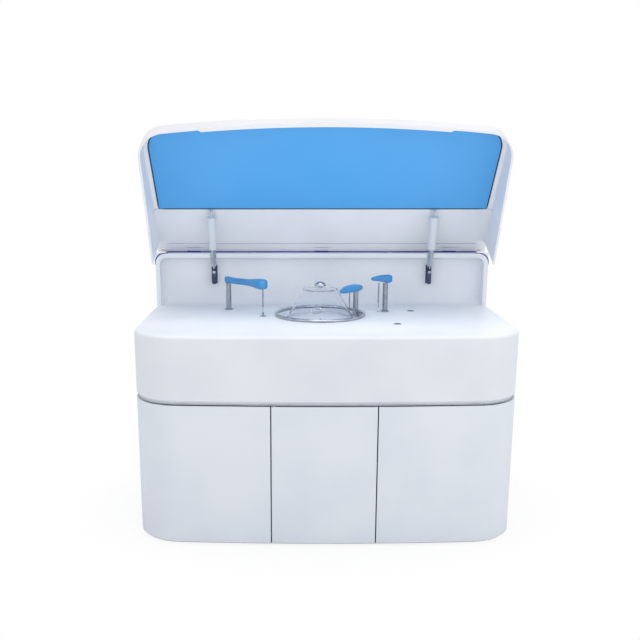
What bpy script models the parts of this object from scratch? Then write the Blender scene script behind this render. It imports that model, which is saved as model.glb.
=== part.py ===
"""Floor-standing chemistry analyzer with an open hood, modelled as separate pieces.

Metres, +Z up, the operator at -Y. The pieces are drawn with Y = 0 at the middle of the front and
Z = 0 at the lower edge of the doors, and an empty sets the whole object on its feet, centred.
"""
import math

import bmesh
import bpy
import numpy as np
from mathutils import Matrix, Vector

# Body
HALF_WIDTH = 0.725
BODY_DEPTH = 0.880
FRONT_BOW = 0.029
FRONT_CORNER_RADIUS = 0.178
REAR_CORNER_RADIUS = 0.030
DECK_HEIGHT = 0.794
SHELL_HEIGHT = 0.252
SHELL_BOTTOM = DECK_HEIGHT - SHELL_HEIGHT
GAP = 0.0003
OVERRUN = 0.010
CORNER_STEPS = 10
BOW_STEPS = 14
REAR_STEPS = 3

# Cabinet
PLATE = 0.004
PLATE_INSET = 0.005
PLATE_SEAT = 0.0005
FOOT_HEIGHT = 0.008
FOOT_RADIUS = 0.030
FOOT_NECK_RADIUS = 0.012
FOOT_INSET_X = 0.130
FOOT_INSET_FRONT = 0.160
FOOT_INSET_REAR = 0.090
DOOR_TOP_GAP = 0.009
DOOR_TOP = SHELL_BOTTOM - DOOR_TOP_GAP
DOOR_THICKNESS = 0.018
DOOR_SKIN = 0.003
DOOR_RETURN = 0.015
DOOR_BACK = 0.190
SEAM_GAP = 0.005
LEFT_SEAM_SHARE = -0.2855
RIGHT_SEAM_SHARE = 0.2566
LEFT_SEAM = LEFT_SEAM_SHARE * HALF_WIDTH
RIGHT_SEAM = RIGHT_SEAM_SHARE * HALF_WIDTH
PIVOT_INSET = 0.010
PIVOT_RADIUS = 0.003
PIVOT_CLEARANCE = 0.0004
PARTITION = 0.003
PARTITION_FRONT = 0.030
PANEL = 0.003
PANEL_RETURN = 0.045

# Rear panel details
VENT_COUNT = 9
VENT_LENGTH = 0.150
VENT_HEIGHT = 0.006
VENT_PITCH = 0.016
VENT_DROP = 0.203
VENT_BOTTOM = DOOR_TOP - VENT_DROP
VENT_INSET = 0.295
VENT_CENTRE_X = HALF_WIDTH - VENT_INSET
FAN_X = -VENT_CENTRE_X
FAN_DROP = 0.133
FAN_Z = DOOR_TOP - FAN_DROP
FAN_RADIUS = 0.056
FAN_RIM = 0.008
FAN_GUARD_DEPTH = 0.006
FAN_WIRE = 0.004
FAN_RING_COUNT = 3
FAN_SPOKE = 0.004
INLET_INSET = 0.165
INLET_X = HALF_WIDTH - INLET_INSET
INLET_Z = 0.100
INLET_WIDTH = 0.060
INLET_HEIGHT = 0.070
INLET_DEPTH = 0.035
INLET_FLANGE = 0.004
INLET_FLANGE_DEPTH = 0.0025
SOCKET_WIDTH = 0.027
SOCKET_HEIGHT = 0.019
SOCKET_DEPTH = 0.020
ROCKER_WIDTH = 0.020
ROCKER_HEIGHT = 0.028
ROCKER_DEPTH = 0.006
ROCKER_PROUD = 0.004
ROCKER_CROWN = 0.0015
ROCKER_AXIS_DEPTH = 0.004
ROCKER_POCKET = 0.013
ROCKER_ROOM = 0.0012
ROCKER_FOOT_SHARE = 0.8
ROCKER_TILT = math.radians(5.0)
ROCKER_LIFT = 0.018
SOCKET_DROP = 0.017

# Upper shell
SHELL_WALL = 0.004
SHELL_EDGE_RADIUS = 0.014
SHELL_CHAMFER = 0.012
EDGE_STEPS = 4

# Rear housing
HOUSING_DEPTH = 0.1605
HOUSING_BACK_SETBACK = 0.0035
HOUSING_SIDE_SETBACK = 0.003
HOUSING_RISE = 0.226
HOUSING_BACK = BODY_DEPTH - HOUSING_BACK_SETBACK
HOUSING_FRONT = HOUSING_BACK - HOUSING_DEPTH
HOUSING_HALF_WIDTH = HALF_WIDTH - HOUSING_SIDE_SETBACK
HOUSING_TOP = DECK_HEIGHT + HOUSING_RISE
HOUSING_CORNER = 0.045
HOUSING_WALL = 0.007
RECESS_DEPTH = 0.045
RIM_WIDTH = 0.018
RECESS_CORNER = 0.030
COVE_RADIUS = 0.040
COVE_STEPS = 6
COVE_TOE = 0.001
TROUGH_FRONT_ROOM = 0.0135
TROUGH_DEPTH = 0.0215
TROUGH_FLOOR = 0.0045
TROUGH_INSET = 0.042
TROUGH_HALF_LENGTH = HOUSING_HALF_WIDTH - TROUGH_INSET
HINGE_WEB_SHARE = 0.414
HINGE_WEB_X = HINGE_WEB_SHARE * HALF_WIDTH
HINGE_WEB_HALF = 0.010
REAR_COVER = 0.003
COVER_VENT_COUNT = 5
COVER_VENT_LENGTH = 0.240
COVER_VENT_X = HALF_WIDTH / 2
STRUT_NOTCH_DEPTH = 0.0175
STRUT_NOTCH_HEIGHT = 0.030

# Hood hinge
HINGE_SETBACK = 0.059
HINGE_DROP = 0.008
HINGE_Y = HOUSING_FRONT + HINGE_SETBACK
HINGE_Z = HOUSING_TOP - HINGE_DROP
HOOD_OPEN = math.radians(68.0)
HINGE_ROD_RADIUS = 0.004
HINGE_ROD_CLEARANCE = 0.0004
HINGE_ROD_END = 0.010
KNUCKLE_RADIUS = 0.010
KNUCKLE_HALF = 0.030
KNUCKLE_X = HALF_WIDTH - INLET_INSET

# Hood, drawn closed
HOOD_SIDE_SETBACK = 0.0045
HOOD_REAR_SETBACK = 0.011
HOOD_HALF_FRONT = HALF_WIDTH - HOOD_SIDE_SETBACK
HOOD_HALF_REAR = HOUSING_HALF_WIDTH - HOOD_REAR_SETBACK
HOOD_FRONT = 0.116
HOOD_BOW = 0.045
HOOD_CORNER_RADIUS = 0.108
HOOD_TAPER_START = 0.270
HOOD_REAR_LENGTH = 0.165
HOOD_TIP_GAP = 0.004
HOOD_LAP = 0.041
HOOD_RIM_RISE = 0.006
HOOD_ROOF_RISE = 0.010
HOOD_TIP = HOUSING_FRONT - HOOD_TIP_GAP
HOOD_SEAM = HOOD_TIP - HOOD_REAR_LENGTH
HOOD_LIP_BACK = HOUSING_FRONT + HOOD_LAP
HOOD_BOTTOM = DECK_HEIGHT + HOOD_RIM_RISE
HOOD_ROOF_REAR = HOUSING_TOP + HOOD_ROOF_RISE
HOOD_SLOPE = 0.249
HOOD_WALL = 0.005
HOOD_LIP = 0.009
HOOD_LIP_THICKNESS = 0.004
HOOD_RIM = 0.023
HOOD_EDGE_RADIUS = 0.020
HOOD_INNER_RADIUS = 0.012
HOOD_LIP_CLEARANCE = 0.0035
WINDOW_THICKNESS = 0.004
HANDLE_END_INSET = 0.255
HANDLE_HALF_LENGTH = HALF_WIDTH - HANDLE_END_INSET
HANDLE_END_SLANT = 0.022
HANDLE_DEPTH = 0.017
HANDLE_HEIGHT = 0.012

# Gas struts
STRUT_INSET = 0.255
STRUT_SETBACK = 0.019
STRUT_DROP = 0.063
STRUT_LEAN = 0.090
STRUT_REACH = 0.238
STRUT_X = HALF_WIDTH - STRUT_INSET
STRUT_LOWER_Y = HOUSING_FRONT + STRUT_SETBACK
STRUT_LOWER_Z = HOUSING_TOP - STRUT_DROP
STRUT_UPPER_Y = STRUT_LOWER_Y - STRUT_LEAN
STRUT_UPPER_Z = STRUT_LOWER_Z + STRUT_REACH
STRUT_ROD_RADIUS = 0.011
STRUT_TUBE_RADIUS = 0.017
STRUT_BORE_CLEARANCE = 0.0006
STRUT_EYE_RADIUS = 0.010
STRUT_EYE_HALF = 0.003
STRUT_PIN_RADIUS = 0.003
STRUT_PIN_CLEARANCE = 0.0004
STRUT_SHOULDER = 0.0045
STRUT_ENGAGED = 0.016
STRUT_CHEEK = 0.003
STRUT_CHEEK_GAP = 0.0006
BRACKET_FOOT_DROP = 0.071
BRACKET_FOOT_ROOM = 0.019
BRACKET_FOOT_BOTTOM = STRUT_LOWER_Z - BRACKET_FOOT_DROP
BRACKET_FOOT_TOP = STRUT_LOWER_Z - BRACKET_FOOT_ROOM
BRACKET_BASE = 0.006
NOTCH_HALF = 0.0125
HOOD_BRACKET_LENGTH = 0.050

# Carousel
CAROUSEL_X = -0.015
CAROUSEL_SETBACK = 0.259
CAROUSEL_Y = HOUSING_FRONT - CAROUSEL_SETBACK
BOWL_RADIUS = 0.1715
BOWL_WALL = 0.002
RING_SEAT = 0.0075
RING_RADIUS = BOWL_RADIUS + RING_SEAT
RING_SECTION = 0.006
RING_STEPS = 48
BOWL_DEPTH = 0.090
BOWL_FLANGE = 0.0125
BOWL_FLANGE_THICKNESS = 0.0015
SHELF_DROP = 0.009
SHELF_WIDTH = 0.0435
SHELF_INNER_RADIUS = BOWL_RADIUS - SHELF_WIDTH
ROTOR_CLEARANCE = 0.002
ROTOR_DROP = 0.001
ROTOR_THICKNESS = 0.006
ROTOR_WALL = 0.004
ROTOR_SKIRT = 0.040
ROTOR_HUB_RADIUS = 0.018
ROTOR_CELL_COUNT = 24
ROTOR_CELL_RADIUS = 0.0065
ROTOR_CELL_INSET = 0.015
ROTOR_CELL_CIRCLE = SHELF_INNER_RADIUS - ROTOR_CELL_INSET
SHAFT_RADIUS = 0.008
SHAFT_CLEARANCE = 0.0005
MOTOR_HALF = 0.028
MOTOR_HEIGHT = 0.050
MOTOR_BOSS_RADIUS = 0.016
MOTOR_BOSS_HEIGHT = 0.004

# Clear cover of the carousel
COVER_LAP = 0.005
COVER_BASE_RADIUS = SHELF_INNER_RADIUS + COVER_LAP
COVER_TAPER = 0.063
COVER_TOP_RADIUS = COVER_BASE_RADIUS - COVER_TAPER
COVER_HEIGHT = 0.114
COVER_CROWN = 0.006
COVER_WALL = 0.0025
COVER_FLANGE = 0.004
COVER_STEPS = 40
KNOB_RADIUS = 0.024
KNOB_HEIGHT = 0.026
KNOB_NECK_RADIUS = 0.009
KNOB_NECK_HEIGHT = 0.008
CLIP_LENGTH = 0.026
CLIP_WIDTH = 0.010
CLIP_HEIGHT = 0.008
LATCH_HALF_LENGTH = 0.021
LATCH_HALF_HEIGHT = 0.013
LATCH_WIRE = 0.0025
LATCH_RISE = 0.050
LATCH_TURN = math.radians(10.0)

# Probe arms: post place, pointing direction, and heights over the deck
POST_RADIUS = 0.011
POST_CLEARANCE = 0.0006
FLANGE_RADIUS = 0.0175
FLANGE_HEIGHT = 0.005
POST_BELOW_DECK = 0.116
NECK_RADIUS = 0.0135
GUIDE_HALF_LENGTH = 0.034
GUIDE_HALF_WIDTH = 0.015
GUIDE_PLATE = 0.004
GUIDE_ROD_RADIUS = 0.004
GUIDE_ROD_X = 0.025
GUIDE_ROD_CLEARANCE = 0.0005
GUIDE_ROD_END = 0.008
CARRIAGE_DROP = 0.070
CARRIAGE_HEIGHT = 0.036
COLLAR_RADIUS = 0.0145
COLLAR_HEIGHT = 0.006
PROBE_RADIUS = 0.003
PROBE_TIP_RADIUS = 0.0015
PROBE_TIP_LENGTH = 0.020
PROBE_BORE_RADIUS = 0.008
ARM_CORNER_STEPS = 5
ARM_SQUARE_SHARE = 0.5
ARM_SECTION_STEPS = 16
ARM_END_SHARE = 0.4
ARM_TIP_ANGLE = 0.25

SAMPLE_OFFSET = (-0.383, 0.145)
SAMPLE_POST = (CAROUSEL_X + SAMPLE_OFFSET[0], CAROUSEL_Y + SAMPLE_OFFSET[1])
SAMPLE_HEADING = math.radians(-48.0)
SAMPLE_REACH = 0.225
SAMPLE_TIP = 0.018
SAMPLE_TAIL = 0.018
SAMPLE_TAIL_HALF = 0.014
SAMPLE_WAIST_HALF = 0.012
SAMPLE_HEAD_HALF = 0.021
SAMPLE_UNDER = 0.114
SAMPLE_THICKNESS = 0.028
SAMPLE_HEAD_DROP = 0.005
SAMPLE_TIP_CLEARANCE = 0.0165
SAMPLE_STROKE = 0.050

REAGENT_INSET = 0.0235
REAGENT_OFFSET = (BOWL_RADIUS - REAGENT_INSET, 0.041)
REAGENT_POST = (CAROUSEL_X + REAGENT_OFFSET[0], CAROUSEL_Y + REAGENT_OFFSET[1])
REAGENT_HEADING = math.radians(232.0)
REAGENT_REACH = 0.045
REAGENT_TIP = 0.060
REAGENT_TAIL = 0.036
REAGENT_HALF = 0.021
REAGENT_UNDER = 0.093
REAGENT_THICKNESS = 0.028
REAGENT_TIP_CLEARANCE = 0.030
REAGENT_FLANGE_RADIUS = 0.0145

MIXER_OFFSET = (0.275, 0.094)
MIXER_POST = (CAROUSEL_X + MIXER_OFFSET[0], CAROUSEL_Y + MIXER_OFFSET[1])
MIXER_HEADING = math.radians(176.0)
MIXER_REACH = 0.028
MIXER_TIP = 0.036
MIXER_TAIL = 0.028
MIXER_HALF = 0.020
MIXER_UNDER = 0.121
MIXER_THICKNESS = 0.034
MIXER_TIP_CLEARANCE = 0.0165
MIXER_STROKE = 0.040

# Wells in the deck
REST_RADIUS = 0.0045
REST_BORE_RADIUS = 0.0038
REST_HEIGHT = 0.0155
REST_FLANGE_RADIUS = 0.013
REST_FLANGE_HEIGHT = 0.0015
REST_DEPTH = 0.060
REAR_WELL_OFFSET = (0.385, 0.107)
REAR_WELL = (CAROUSEL_X + REAR_WELL_OFFSET[0], CAROUSEL_Y + REAR_WELL_OFFSET[1])
FRONT_WELL_OFFSET = (0.293, -0.198)
FRONT_WELL = (CAROUSEL_X + FRONT_WELL_OFFSET[0], CAROUSEL_Y + FRONT_WELL_OFFSET[1])
WELL_RADIUS = 0.012
WELL_WALL = 0.0015
WELL_FLANGE = 0.004
WELL_FLANGE_HEIGHT = 0.0012
WELL_DEPTH = 0.050
WELL_ISLAND_RADIUS = 0.004
WELL_ISLAND_DROP = 0.002

# Units inside the cabinet
SUPPLY_SIZE = (0.260, 0.340, 0.160)
SUPPLY_INSET = 0.275
SUPPLY_SETBACK = 0.240
SUPPLY_CENTRE = (HALF_WIDTH - SUPPLY_INSET, BODY_DEPTH - SUPPLY_SETBACK)
SUPPLY_SLOT_COUNT = 7
SUPPLY_SLOT_PITCH = 0.026
SUPPLY_SLOT_HEIGHT = 0.110
SUPPLY_SLOT_WIDTH = 0.008
SUPPLY_SLOT_DEPTH = 0.004
FLUID_SIZE = (0.300, 0.260, 0.380)
FLUID_SETBACK = 0.220
FLUID_CENTRE = ((LEFT_SEAM + RIGHT_SEAM) / 2, BODY_DEPTH - FLUID_SETBACK)
FLUID_HEAD_COUNT = 3
FLUID_HEAD_PITCH = 0.085
FLUID_HEAD_RADIUS = 0.028
FLUID_HEAD_DEPTH = 0.040
FLUID_HEAD_HEIGHT = 0.250
BOTTLE_RADIUS = 0.095
BOTTLE_HEIGHT = 0.300
BOTTLE_SHOULDER = 0.050
BOTTLE_NECK_RADIUS = 0.026
BOTTLE_NECK_HEIGHT = 0.030
BOTTLE_ROUND = 0.012
WATER_BOTTLE_SETBACK = (0.263, 0.380)
WATER_BOTTLE_PLACE = (LEFT_SEAM - WATER_BOTTLE_SETBACK[0], BODY_DEPTH - WATER_BOTTLE_SETBACK[1])
WASTE_BOTTLE_SETBACK = (0.123, 0.140)
WASTE_BOTTLE_PLACE = (LEFT_SEAM - WASTE_BOTTLE_SETBACK[0], BODY_DEPTH - WASTE_BOTTLE_SETBACK[1])
CAP_RADIUS = 0.030


# Colours as sRGB shares with roughness and metallic value
PAINTED_WHITE = ((0.92, 0.94, 0.97), 0.42, 0.0)
PANEL_WHITE = ((0.87, 0.90, 0.94), 0.45, 0.0)
LINER_GREY = ((0.80, 0.84, 0.89), 0.50, 0.0)
STEEL = ((0.62, 0.64, 0.67), 0.28, 1.0)
CHROME = ((0.80, 0.81, 0.83), 0.08, 1.0)
DARK_STEEL = ((0.20, 0.23, 0.33), 0.40, 1.0)
ARM_BLUE = ((0.25, 0.53, 0.77), 0.35, 0.0)
WINDOW_BLUE = ((0.345, 0.678, 0.949), 0.12, 0.0)
CLEAR = ((0.90, 0.94, 0.97), 0.04, 0.0)
RUBBER = ((0.05, 0.05, 0.06), 0.80, 0.0)
GREY_PLASTIC = ((0.55, 0.58, 0.62), 0.50, 0.0)
NATURAL_PLASTIC = ((0.86, 0.88, 0.88), 0.40, 0.0)


def clear_scene():
    """Remove whatever the scene holds."""
    for obj in list(bpy.data.objects):
        bpy.data.objects.remove(obj, do_unlink=True)


def make_frame():
    """The empty that sets the object on the ground, centred in depth."""
    frame = bpy.data.objects.new("analyzer", None)
    depth = BODY_DEPTH + GAP + FAN_GUARD_DEPTH
    frame.location = (0, -depth / 2, PLATE_SEAT + PLATE + FOOT_HEIGHT)
    bpy.context.collection.objects.link(frame)
    return frame


def material_for(name, finish):
    """A Principled material with a colour, roughness and metallic value."""
    colour, roughness, metallic = finish
    mat = bpy.data.materials.new(name)
    mat.use_nodes = True
    shader = mat.node_tree.nodes["Principled BSDF"]
    linear = [c / 12.92 if c <= 0.04045 else ((c + 0.055) / 1.055) ** 2.4 for c in colour]
    shader.inputs["Base Color"].default_value = (*linear, 1)
    shader.inputs["Roughness"].default_value = roughness
    shader.inputs["Metallic"].default_value = metallic
    return mat


def mesh_object(name, bm, pivot=(0, 0, 0), turn=0.0):
    """An object whose origin is the pivot; turn swings it about the pivot's X axis."""
    bmesh.ops.translate(bm, verts=bm.verts, vec=-Vector(pivot))
    bmesh.ops.recalc_face_normals(bm, faces=bm.faces)
    mesh = bpy.data.meshes.new(name)
    bm.to_mesh(mesh)
    bm.free()
    obj = bpy.data.objects.new(name, mesh)
    obj.location = pivot
    obj.rotation_euler = (turn, 0, 0)
    obj.parent = FRAME
    bpy.context.collection.objects.link(obj)
    return obj


def piece(name, bm, finish, pivot=(0, 0, 0), turn=0.0):
    """A named sub-part with its own material, smooth on its round faces."""
    obj = mesh_object(name, bm, pivot, turn)
    obj.data.materials.append(material_for(name, finish))
    obj.data.shade_smooth()
    obj.data.set_sharp_from_angle(angle=math.radians(30))
    return obj


def combine(obj, bm, operation, label):
    """Keep a live Boolean of a solid drawn in the same place as the piece."""
    tool = mesh_object(f"{obj.name}_{label}", bm, tuple(obj.location), 0.0)
    tool.rotation_euler = obj.rotation_euler
    tool.hide_render = True
    tool.display_type = "WIRE"
    modifier = obj.modifiers.new(label, "BOOLEAN")
    modifier.operation = operation
    modifier.solver = "EXACT"
    modifier.object = tool
    return obj


def cut(obj, bm, label):
    """Cut a solid out of a piece."""
    return combine(obj, bm, "DIFFERENCE", label)


def weld(obj, bm, label):
    """Weld a solid onto a piece."""
    return combine(obj, bm, "UNION", label)


def add_box(bm, low, high):
    """A box between two corners."""
    low, high = Vector(low), Vector(high)
    place = Matrix.Translation((low + high) / 2) @ Matrix.Diagonal((*(high - low), 1))
    bmesh.ops.create_cube(bm, size=1, matrix=place)
    return bm


def add_skin(bm, rings, closed_ends=True):
    """Skin between rings of equal count, each ring closed, with flat ends."""
    verts = [[bm.verts.new(p) for p in ring] for ring in rings]
    count = len(verts[0])
    for a, b in zip(verts, verts[1:]):
        for i in range(count):
            j = (i + 1) % count
            bm.faces.new((a[i], a[j], b[j], b[i]))
    if closed_ends:
        bm.faces.new(verts[0])
        bm.faces.new(verts[-1])
    return bm


def add_prism(bm, outline, low, high, axis="Z"):
    """An outline of two coordinates carried from low to high along an axis."""
    def place(u, v, w):
        return {"Z": (u, v, w), "Y": (u, w, v), "X": (w, u, v)}[axis]
    return add_skin(bm, [[place(u, v, w) for u, v in outline] for w in (low, high)])


def circle(centre, radius, steps):
    """Points round a circle of two coordinates."""
    angles = np.arange(steps) * 2 * math.pi / steps
    return [(centre[0] + radius * math.cos(a), centre[1] + radius * math.sin(a)) for a in angles]


def add_cylinder(bm, centre, radius, low, high, axis="Z", steps=24):
    """A cylinder round a centre of two coordinates, from low to high along an axis."""
    return add_prism(bm, circle(centre, radius, steps), low, high, axis)


def add_turned(bm, centre, profile, steps=32):
    """A solid turned about a vertical axis; the profile runs from axis to axis as (radius, z)."""
    rings = []
    for radius, z in profile:
        if radius > 0:
            rings.append([bm.verts.new((u, v, z)) for u, v in circle(centre, radius, steps)])
        else:
            rings.append([bm.verts.new((centre[0], centre[1], z))])
    for a, b in zip(rings, rings[1:]):
        for i in range(steps):
            j = (i + 1) % steps
            corners = [a[i % len(a)], a[j % len(a)], b[j % len(b)], b[i % len(b)]]
            unique = list(dict.fromkeys(corners))
            if len(unique) > 2:
                bm.faces.new(unique)
    return bm


def arc(centre, radius, start, end, steps):
    """Points along an arc of two coordinates, ends included."""
    return [(centre[0] + radius * math.cos(a), centre[1] + radius * math.sin(a))
            for a in np.linspace(start, end, steps + 1)]


def bowed_corner(half, bow, corner):
    """Radius of the bow, and the centre of the corner arc that touches the bow and the side."""
    radius = (half ** 2 + bow ** 2) / (2 * bow)
    x = half - corner
    return radius, (x, radius - math.sqrt((radius - corner) ** 2 - x ** 2))


def front_half(inset, from_x=0.0, half=HALF_WIDTH, bow=FRONT_BOW, corner=FRONT_CORNER_RADIUS):
    """Right half of a bowed front set inward by inset: from from_x, round the corner, to the side."""
    radius, (cx, cy) = bowed_corner(half, bow, corner)
    tangent = math.atan2(cx, radius - cy)
    first = math.asin(from_x / (radius - inset))
    points = [((radius - inset) * math.sin(a), radius - (radius - inset) * math.cos(a))
              for a in np.linspace(first, tangent, BOW_STEPS)[:-1]]
    points += [(cx + (corner - inset) * math.sin(b), cy - (corner - inset) * math.cos(b))
               for b in np.linspace(tangent, math.pi / 2, CORNER_STEPS + 1)]
    return points


def plan_outline(inset):
    """The body's whole outline seen from above, set inward by inset."""
    rear_x = HALF_WIDTH - REAR_CORNER_RADIUS
    rear_y = BODY_DEPTH - REAR_CORNER_RADIUS
    right = front_half(inset)
    right += arc((rear_x, rear_y), REAR_CORNER_RADIUS - inset, 0, math.pi / 2, REAR_STEPS)
    left = [(-x, y) for x, y in reversed(right[1:])]
    return right + left


def plan_ring(inset, z):
    """The outline at a height."""
    return [(x, y, z) for x, y in plan_outline(inset)]


def front_face(x, inset=0.0):
    """Distance of the bowed face from the front's middle line, at x."""
    radius, _ = bowed_corner(HALF_WIDTH, FRONT_BOW, FRONT_CORNER_RADIUS)
    return radius - math.sqrt((radius - inset) ** 2 - x ** 2)


def make_chassis():
    """Lower and upper plates joined by the two partitions, with bores for the doors' pivots."""
    bm = bmesh.new()
    low = -PLATE_SEAT - PLATE
    add_skin(bm, [plan_ring(PLATE_INSET, low), plan_ring(PLATE_INSET, -PLATE_SEAT)])
    chassis = piece("chassis", bm, PANEL_WHITE)
    walls = bmesh.new()
    for x in (LEFT_SEAM, RIGHT_SEAM):
        add_box(walls, (x - PARTITION / 2, PARTITION_FRONT, low + PLATE / 2),
                (x + PARTITION / 2, BODY_DEPTH - PANEL - GAP, TOP_PLATE_LOW + PLATE / 2))
    weld(chassis, walls, "partitions")
    top = bmesh.new()
    add_skin(top, [plan_ring(PLATE_INSET, TOP_PLATE_LOW), plan_ring(PLATE_INSET, TOP_PLATE_HIGH)])
    weld(chassis, top, "top_plate")
    bores = bmesh.new()
    for x, y in DOOR_AXES.values():
        for z0, z1 in ((low, -PLATE_SEAT), (TOP_PLATE_LOW, TOP_PLATE_HIGH)):
            add_cylinder(bores, (x, y), PIVOT_RADIUS + PIVOT_CLEARANCE, z0 - OVERRUN / 4,
                         z1 + OVERRUN / 4, steps=12)
    cut(chassis, bores, "pivot_bores")


def make_feet():
    """Four levelling feet: a neck and a turned pad."""
    for side, x in (("left", -1), ("right", 1)):
        for end, y in (("front", FOOT_INSET_FRONT), ("rear", BODY_DEPTH - FOOT_INSET_REAR)):
            bm = bmesh.new()
            top = -PLATE_SEAT - PLATE - GAP
            bottom = -PLATE_SEAT - PLATE - FOOT_HEIGHT
            pad = bottom + (top - bottom) / 2
            add_turned(bm, (x * (HALF_WIDTH - FOOT_INSET_X), y),
                       [(0, bottom), (FOOT_RADIUS, bottom), (FOOT_RADIUS, pad),
                        (FOOT_NECK_RADIUS, pad), (FOOT_NECK_RADIUS, top), (0, top)], steps=24)
            piece(f"{end}_{side}_foot", bm, RUBBER)


def door_outline(side, outer, inner, margin):
    """A corner door's plan between two insets, with its ends drawn in by a margin."""
    seam = abs(LEFT_SEAM if side < 0 else RIGHT_SEAM) + SEAM_GAP / 2 + margin
    back = DOOR_BACK - margin
    _, (cx, cy) = bowed_corner(HALF_WIDTH, FRONT_BOW, FRONT_CORNER_RADIUS)

    def line(inset):
        points = [(x, y) for x, y in front_half(inset, seam) if y < back - GAP]
        return points + [(cx + math.sqrt((FRONT_CORNER_RADIUS - inset) ** 2 - (cy - back) ** 2), back)]
    return [(side * x, y) for x, y in line(outer) + line(inner)[::-1]]


def middle_outline(outer, inner, margin):
    """The middle door's plan between two insets."""
    left = LEFT_SEAM + SEAM_GAP / 2 + margin
    right = RIGHT_SEAM - SEAM_GAP / 2 - margin
    xs = np.linspace(left, right, BOW_STEPS)
    return [(x, front_face(x, outer)) for x in xs] + [(x, front_face(x, inner)) for x in xs[::-1]]


def make_door(name, axis, outline):
    """A folded sheet door: skin, returns all round, and a pivot pin at both ends of its axis."""
    bm = add_prism(bmesh.new(), outline(0, DOOR_THICKNESS, 0), 0, DOOR_TOP)
    door = piece(name, bm, PANEL_WHITE, pivot=(*axis, 0))
    tray = outline(DOOR_SKIN, DOOR_THICKNESS + OVERRUN, DOOR_RETURN)
    cut(door, add_prism(bmesh.new(), tray, DOOR_RETURN, DOOR_TOP - DOOR_RETURN), "tray")
    pins = bmesh.new()
    embed = DOOR_RETURN / 3
    add_cylinder(pins, axis, PIVOT_RADIUS, -PLATE_SEAT - PLATE + GAP, embed, steps=12)
    add_cylinder(pins, axis, PIVOT_RADIUS, DOOR_TOP - embed, TOP_PLATE_HIGH - GAP, steps=12)
    weld(door, pins, "pins")


def make_doors():
    """Two corner doors and the middle door."""
    make_door("left_door", DOOR_AXES["left"], lambda a, b, m: door_outline(-1, a, b, m))
    make_door("right_door", DOOR_AXES["right"], lambda a, b, m: door_outline(1, a, b, m))
    make_door("middle_door", DOOR_AXES["middle"], middle_outline)


def side_outline(side, outer, inner):
    """A side panel's plan: along the side and round the rear corner to its return."""
    def line(inset):
        rear_x = HALF_WIDTH - REAR_CORNER_RADIUS
        rear_y = BODY_DEPTH - REAR_CORNER_RADIUS
        points = [(HALF_WIDTH - inset, DOOR_BACK + SEAM_GAP)]
        points += arc((rear_x, rear_y), REAR_CORNER_RADIUS - inset, 0, math.pi / 2, REAR_STEPS)
        return points + [(HALF_WIDTH - PANEL_RETURN, BODY_DEPTH - inset)]
    return [(side * x, y) for x, y in line(outer) + line(inner)[::-1]]


def make_side_panels():
    """The sides behind the corner doors."""
    for name, side in (("left_side_panel", -1), ("right_side_panel", 1)):
        piece(name, add_prism(bmesh.new(), side_outline(side, 0, PANEL), 0, DOOR_TOP), PANEL_WHITE)


def make_rear_panel():
    """The back of the cabinet, with vent slots, a fan opening and the inlet's opening."""
    half = HALF_WIDTH - PANEL_RETURN - GAP
    front, back = BODY_DEPTH - PANEL, BODY_DEPTH
    bm = add_box(bmesh.new(), (-half, front, 0), (half, back, DOOR_TOP))
    panel = piece("rear_panel", bm, PANEL_WHITE)
    near, far = front - OVERRUN, back + OVERRUN
    slots = bmesh.new()
    for row in range(VENT_COUNT):
        z = VENT_BOTTOM + row * VENT_PITCH
        add_box(slots, (VENT_CENTRE_X - VENT_LENGTH / 2, near, z),
                (VENT_CENTRE_X + VENT_LENGTH / 2, far, z + VENT_HEIGHT))
    cut(panel, slots, "vents")
    holes = add_cylinder(bmesh.new(), (FAN_X, FAN_Z), FAN_RADIUS, near, far, "Y", 32)
    add_box(holes, (INLET_X - INLET_WIDTH / 2, near, INLET_Z - INLET_HEIGHT / 2),
            (INLET_X + INLET_WIDTH / 2, far, INLET_Z + INLET_HEIGHT / 2))
    cut(panel, holes, "openings")


def make_fan_guard():
    """A round guard with open rings between its hoops and two crossed spokes, on the fan opening."""
    low, high = BODY_DEPTH + GAP, BODY_DEPTH + GAP + FAN_GUARD_DEPTH
    centre = (FAN_X, FAN_Z)
    disc = add_cylinder(bmesh.new(), centre, FAN_RADIUS + FAN_RIM, low, high, "Y", 32)
    guard = piece("fan_guard", disc, GREY_PLASTIC)
    pitch = FAN_RADIUS / FAN_RING_COUNT
    for ring in range(FAN_RING_COUNT):
        outer = FAN_RADIUS - ring * pitch
        inner = outer - pitch + FAN_WIRE
        opening = bmesh.new()
        loops = [[(x, y, z) for x, z in circle(centre, radius, 32)]
                 for radius, y in ((outer, low - OVERRUN), (outer, high + OVERRUN),
                                   (inner, high + OVERRUN), (inner, low - OVERRUN))]
        add_skin(opening, loops + loops[:1], closed_ends=False)
        bmesh.ops.remove_doubles(opening, verts=opening.verts, dist=GAP / 10)
        cut(guard, opening, f"ring_{ring}")
    reach = FAN_RADIUS + FAN_RIM / 2
    half = FAN_SPOKE / 2
    cross = [(half, half), (half, reach), (-half, reach), (-half, half), (-reach, half),
             (-reach, -half), (-half, -half), (-half, -reach), (half, -reach), (half, -half),
             (reach, -half), (reach, half)]
    spokes = [(FAN_X + u, FAN_Z + v) for u, v in cross]
    weld(guard, add_prism(bmesh.new(), spokes, low, low + FAN_GUARD_DEPTH / 2, "Y"), "spokes")


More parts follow.
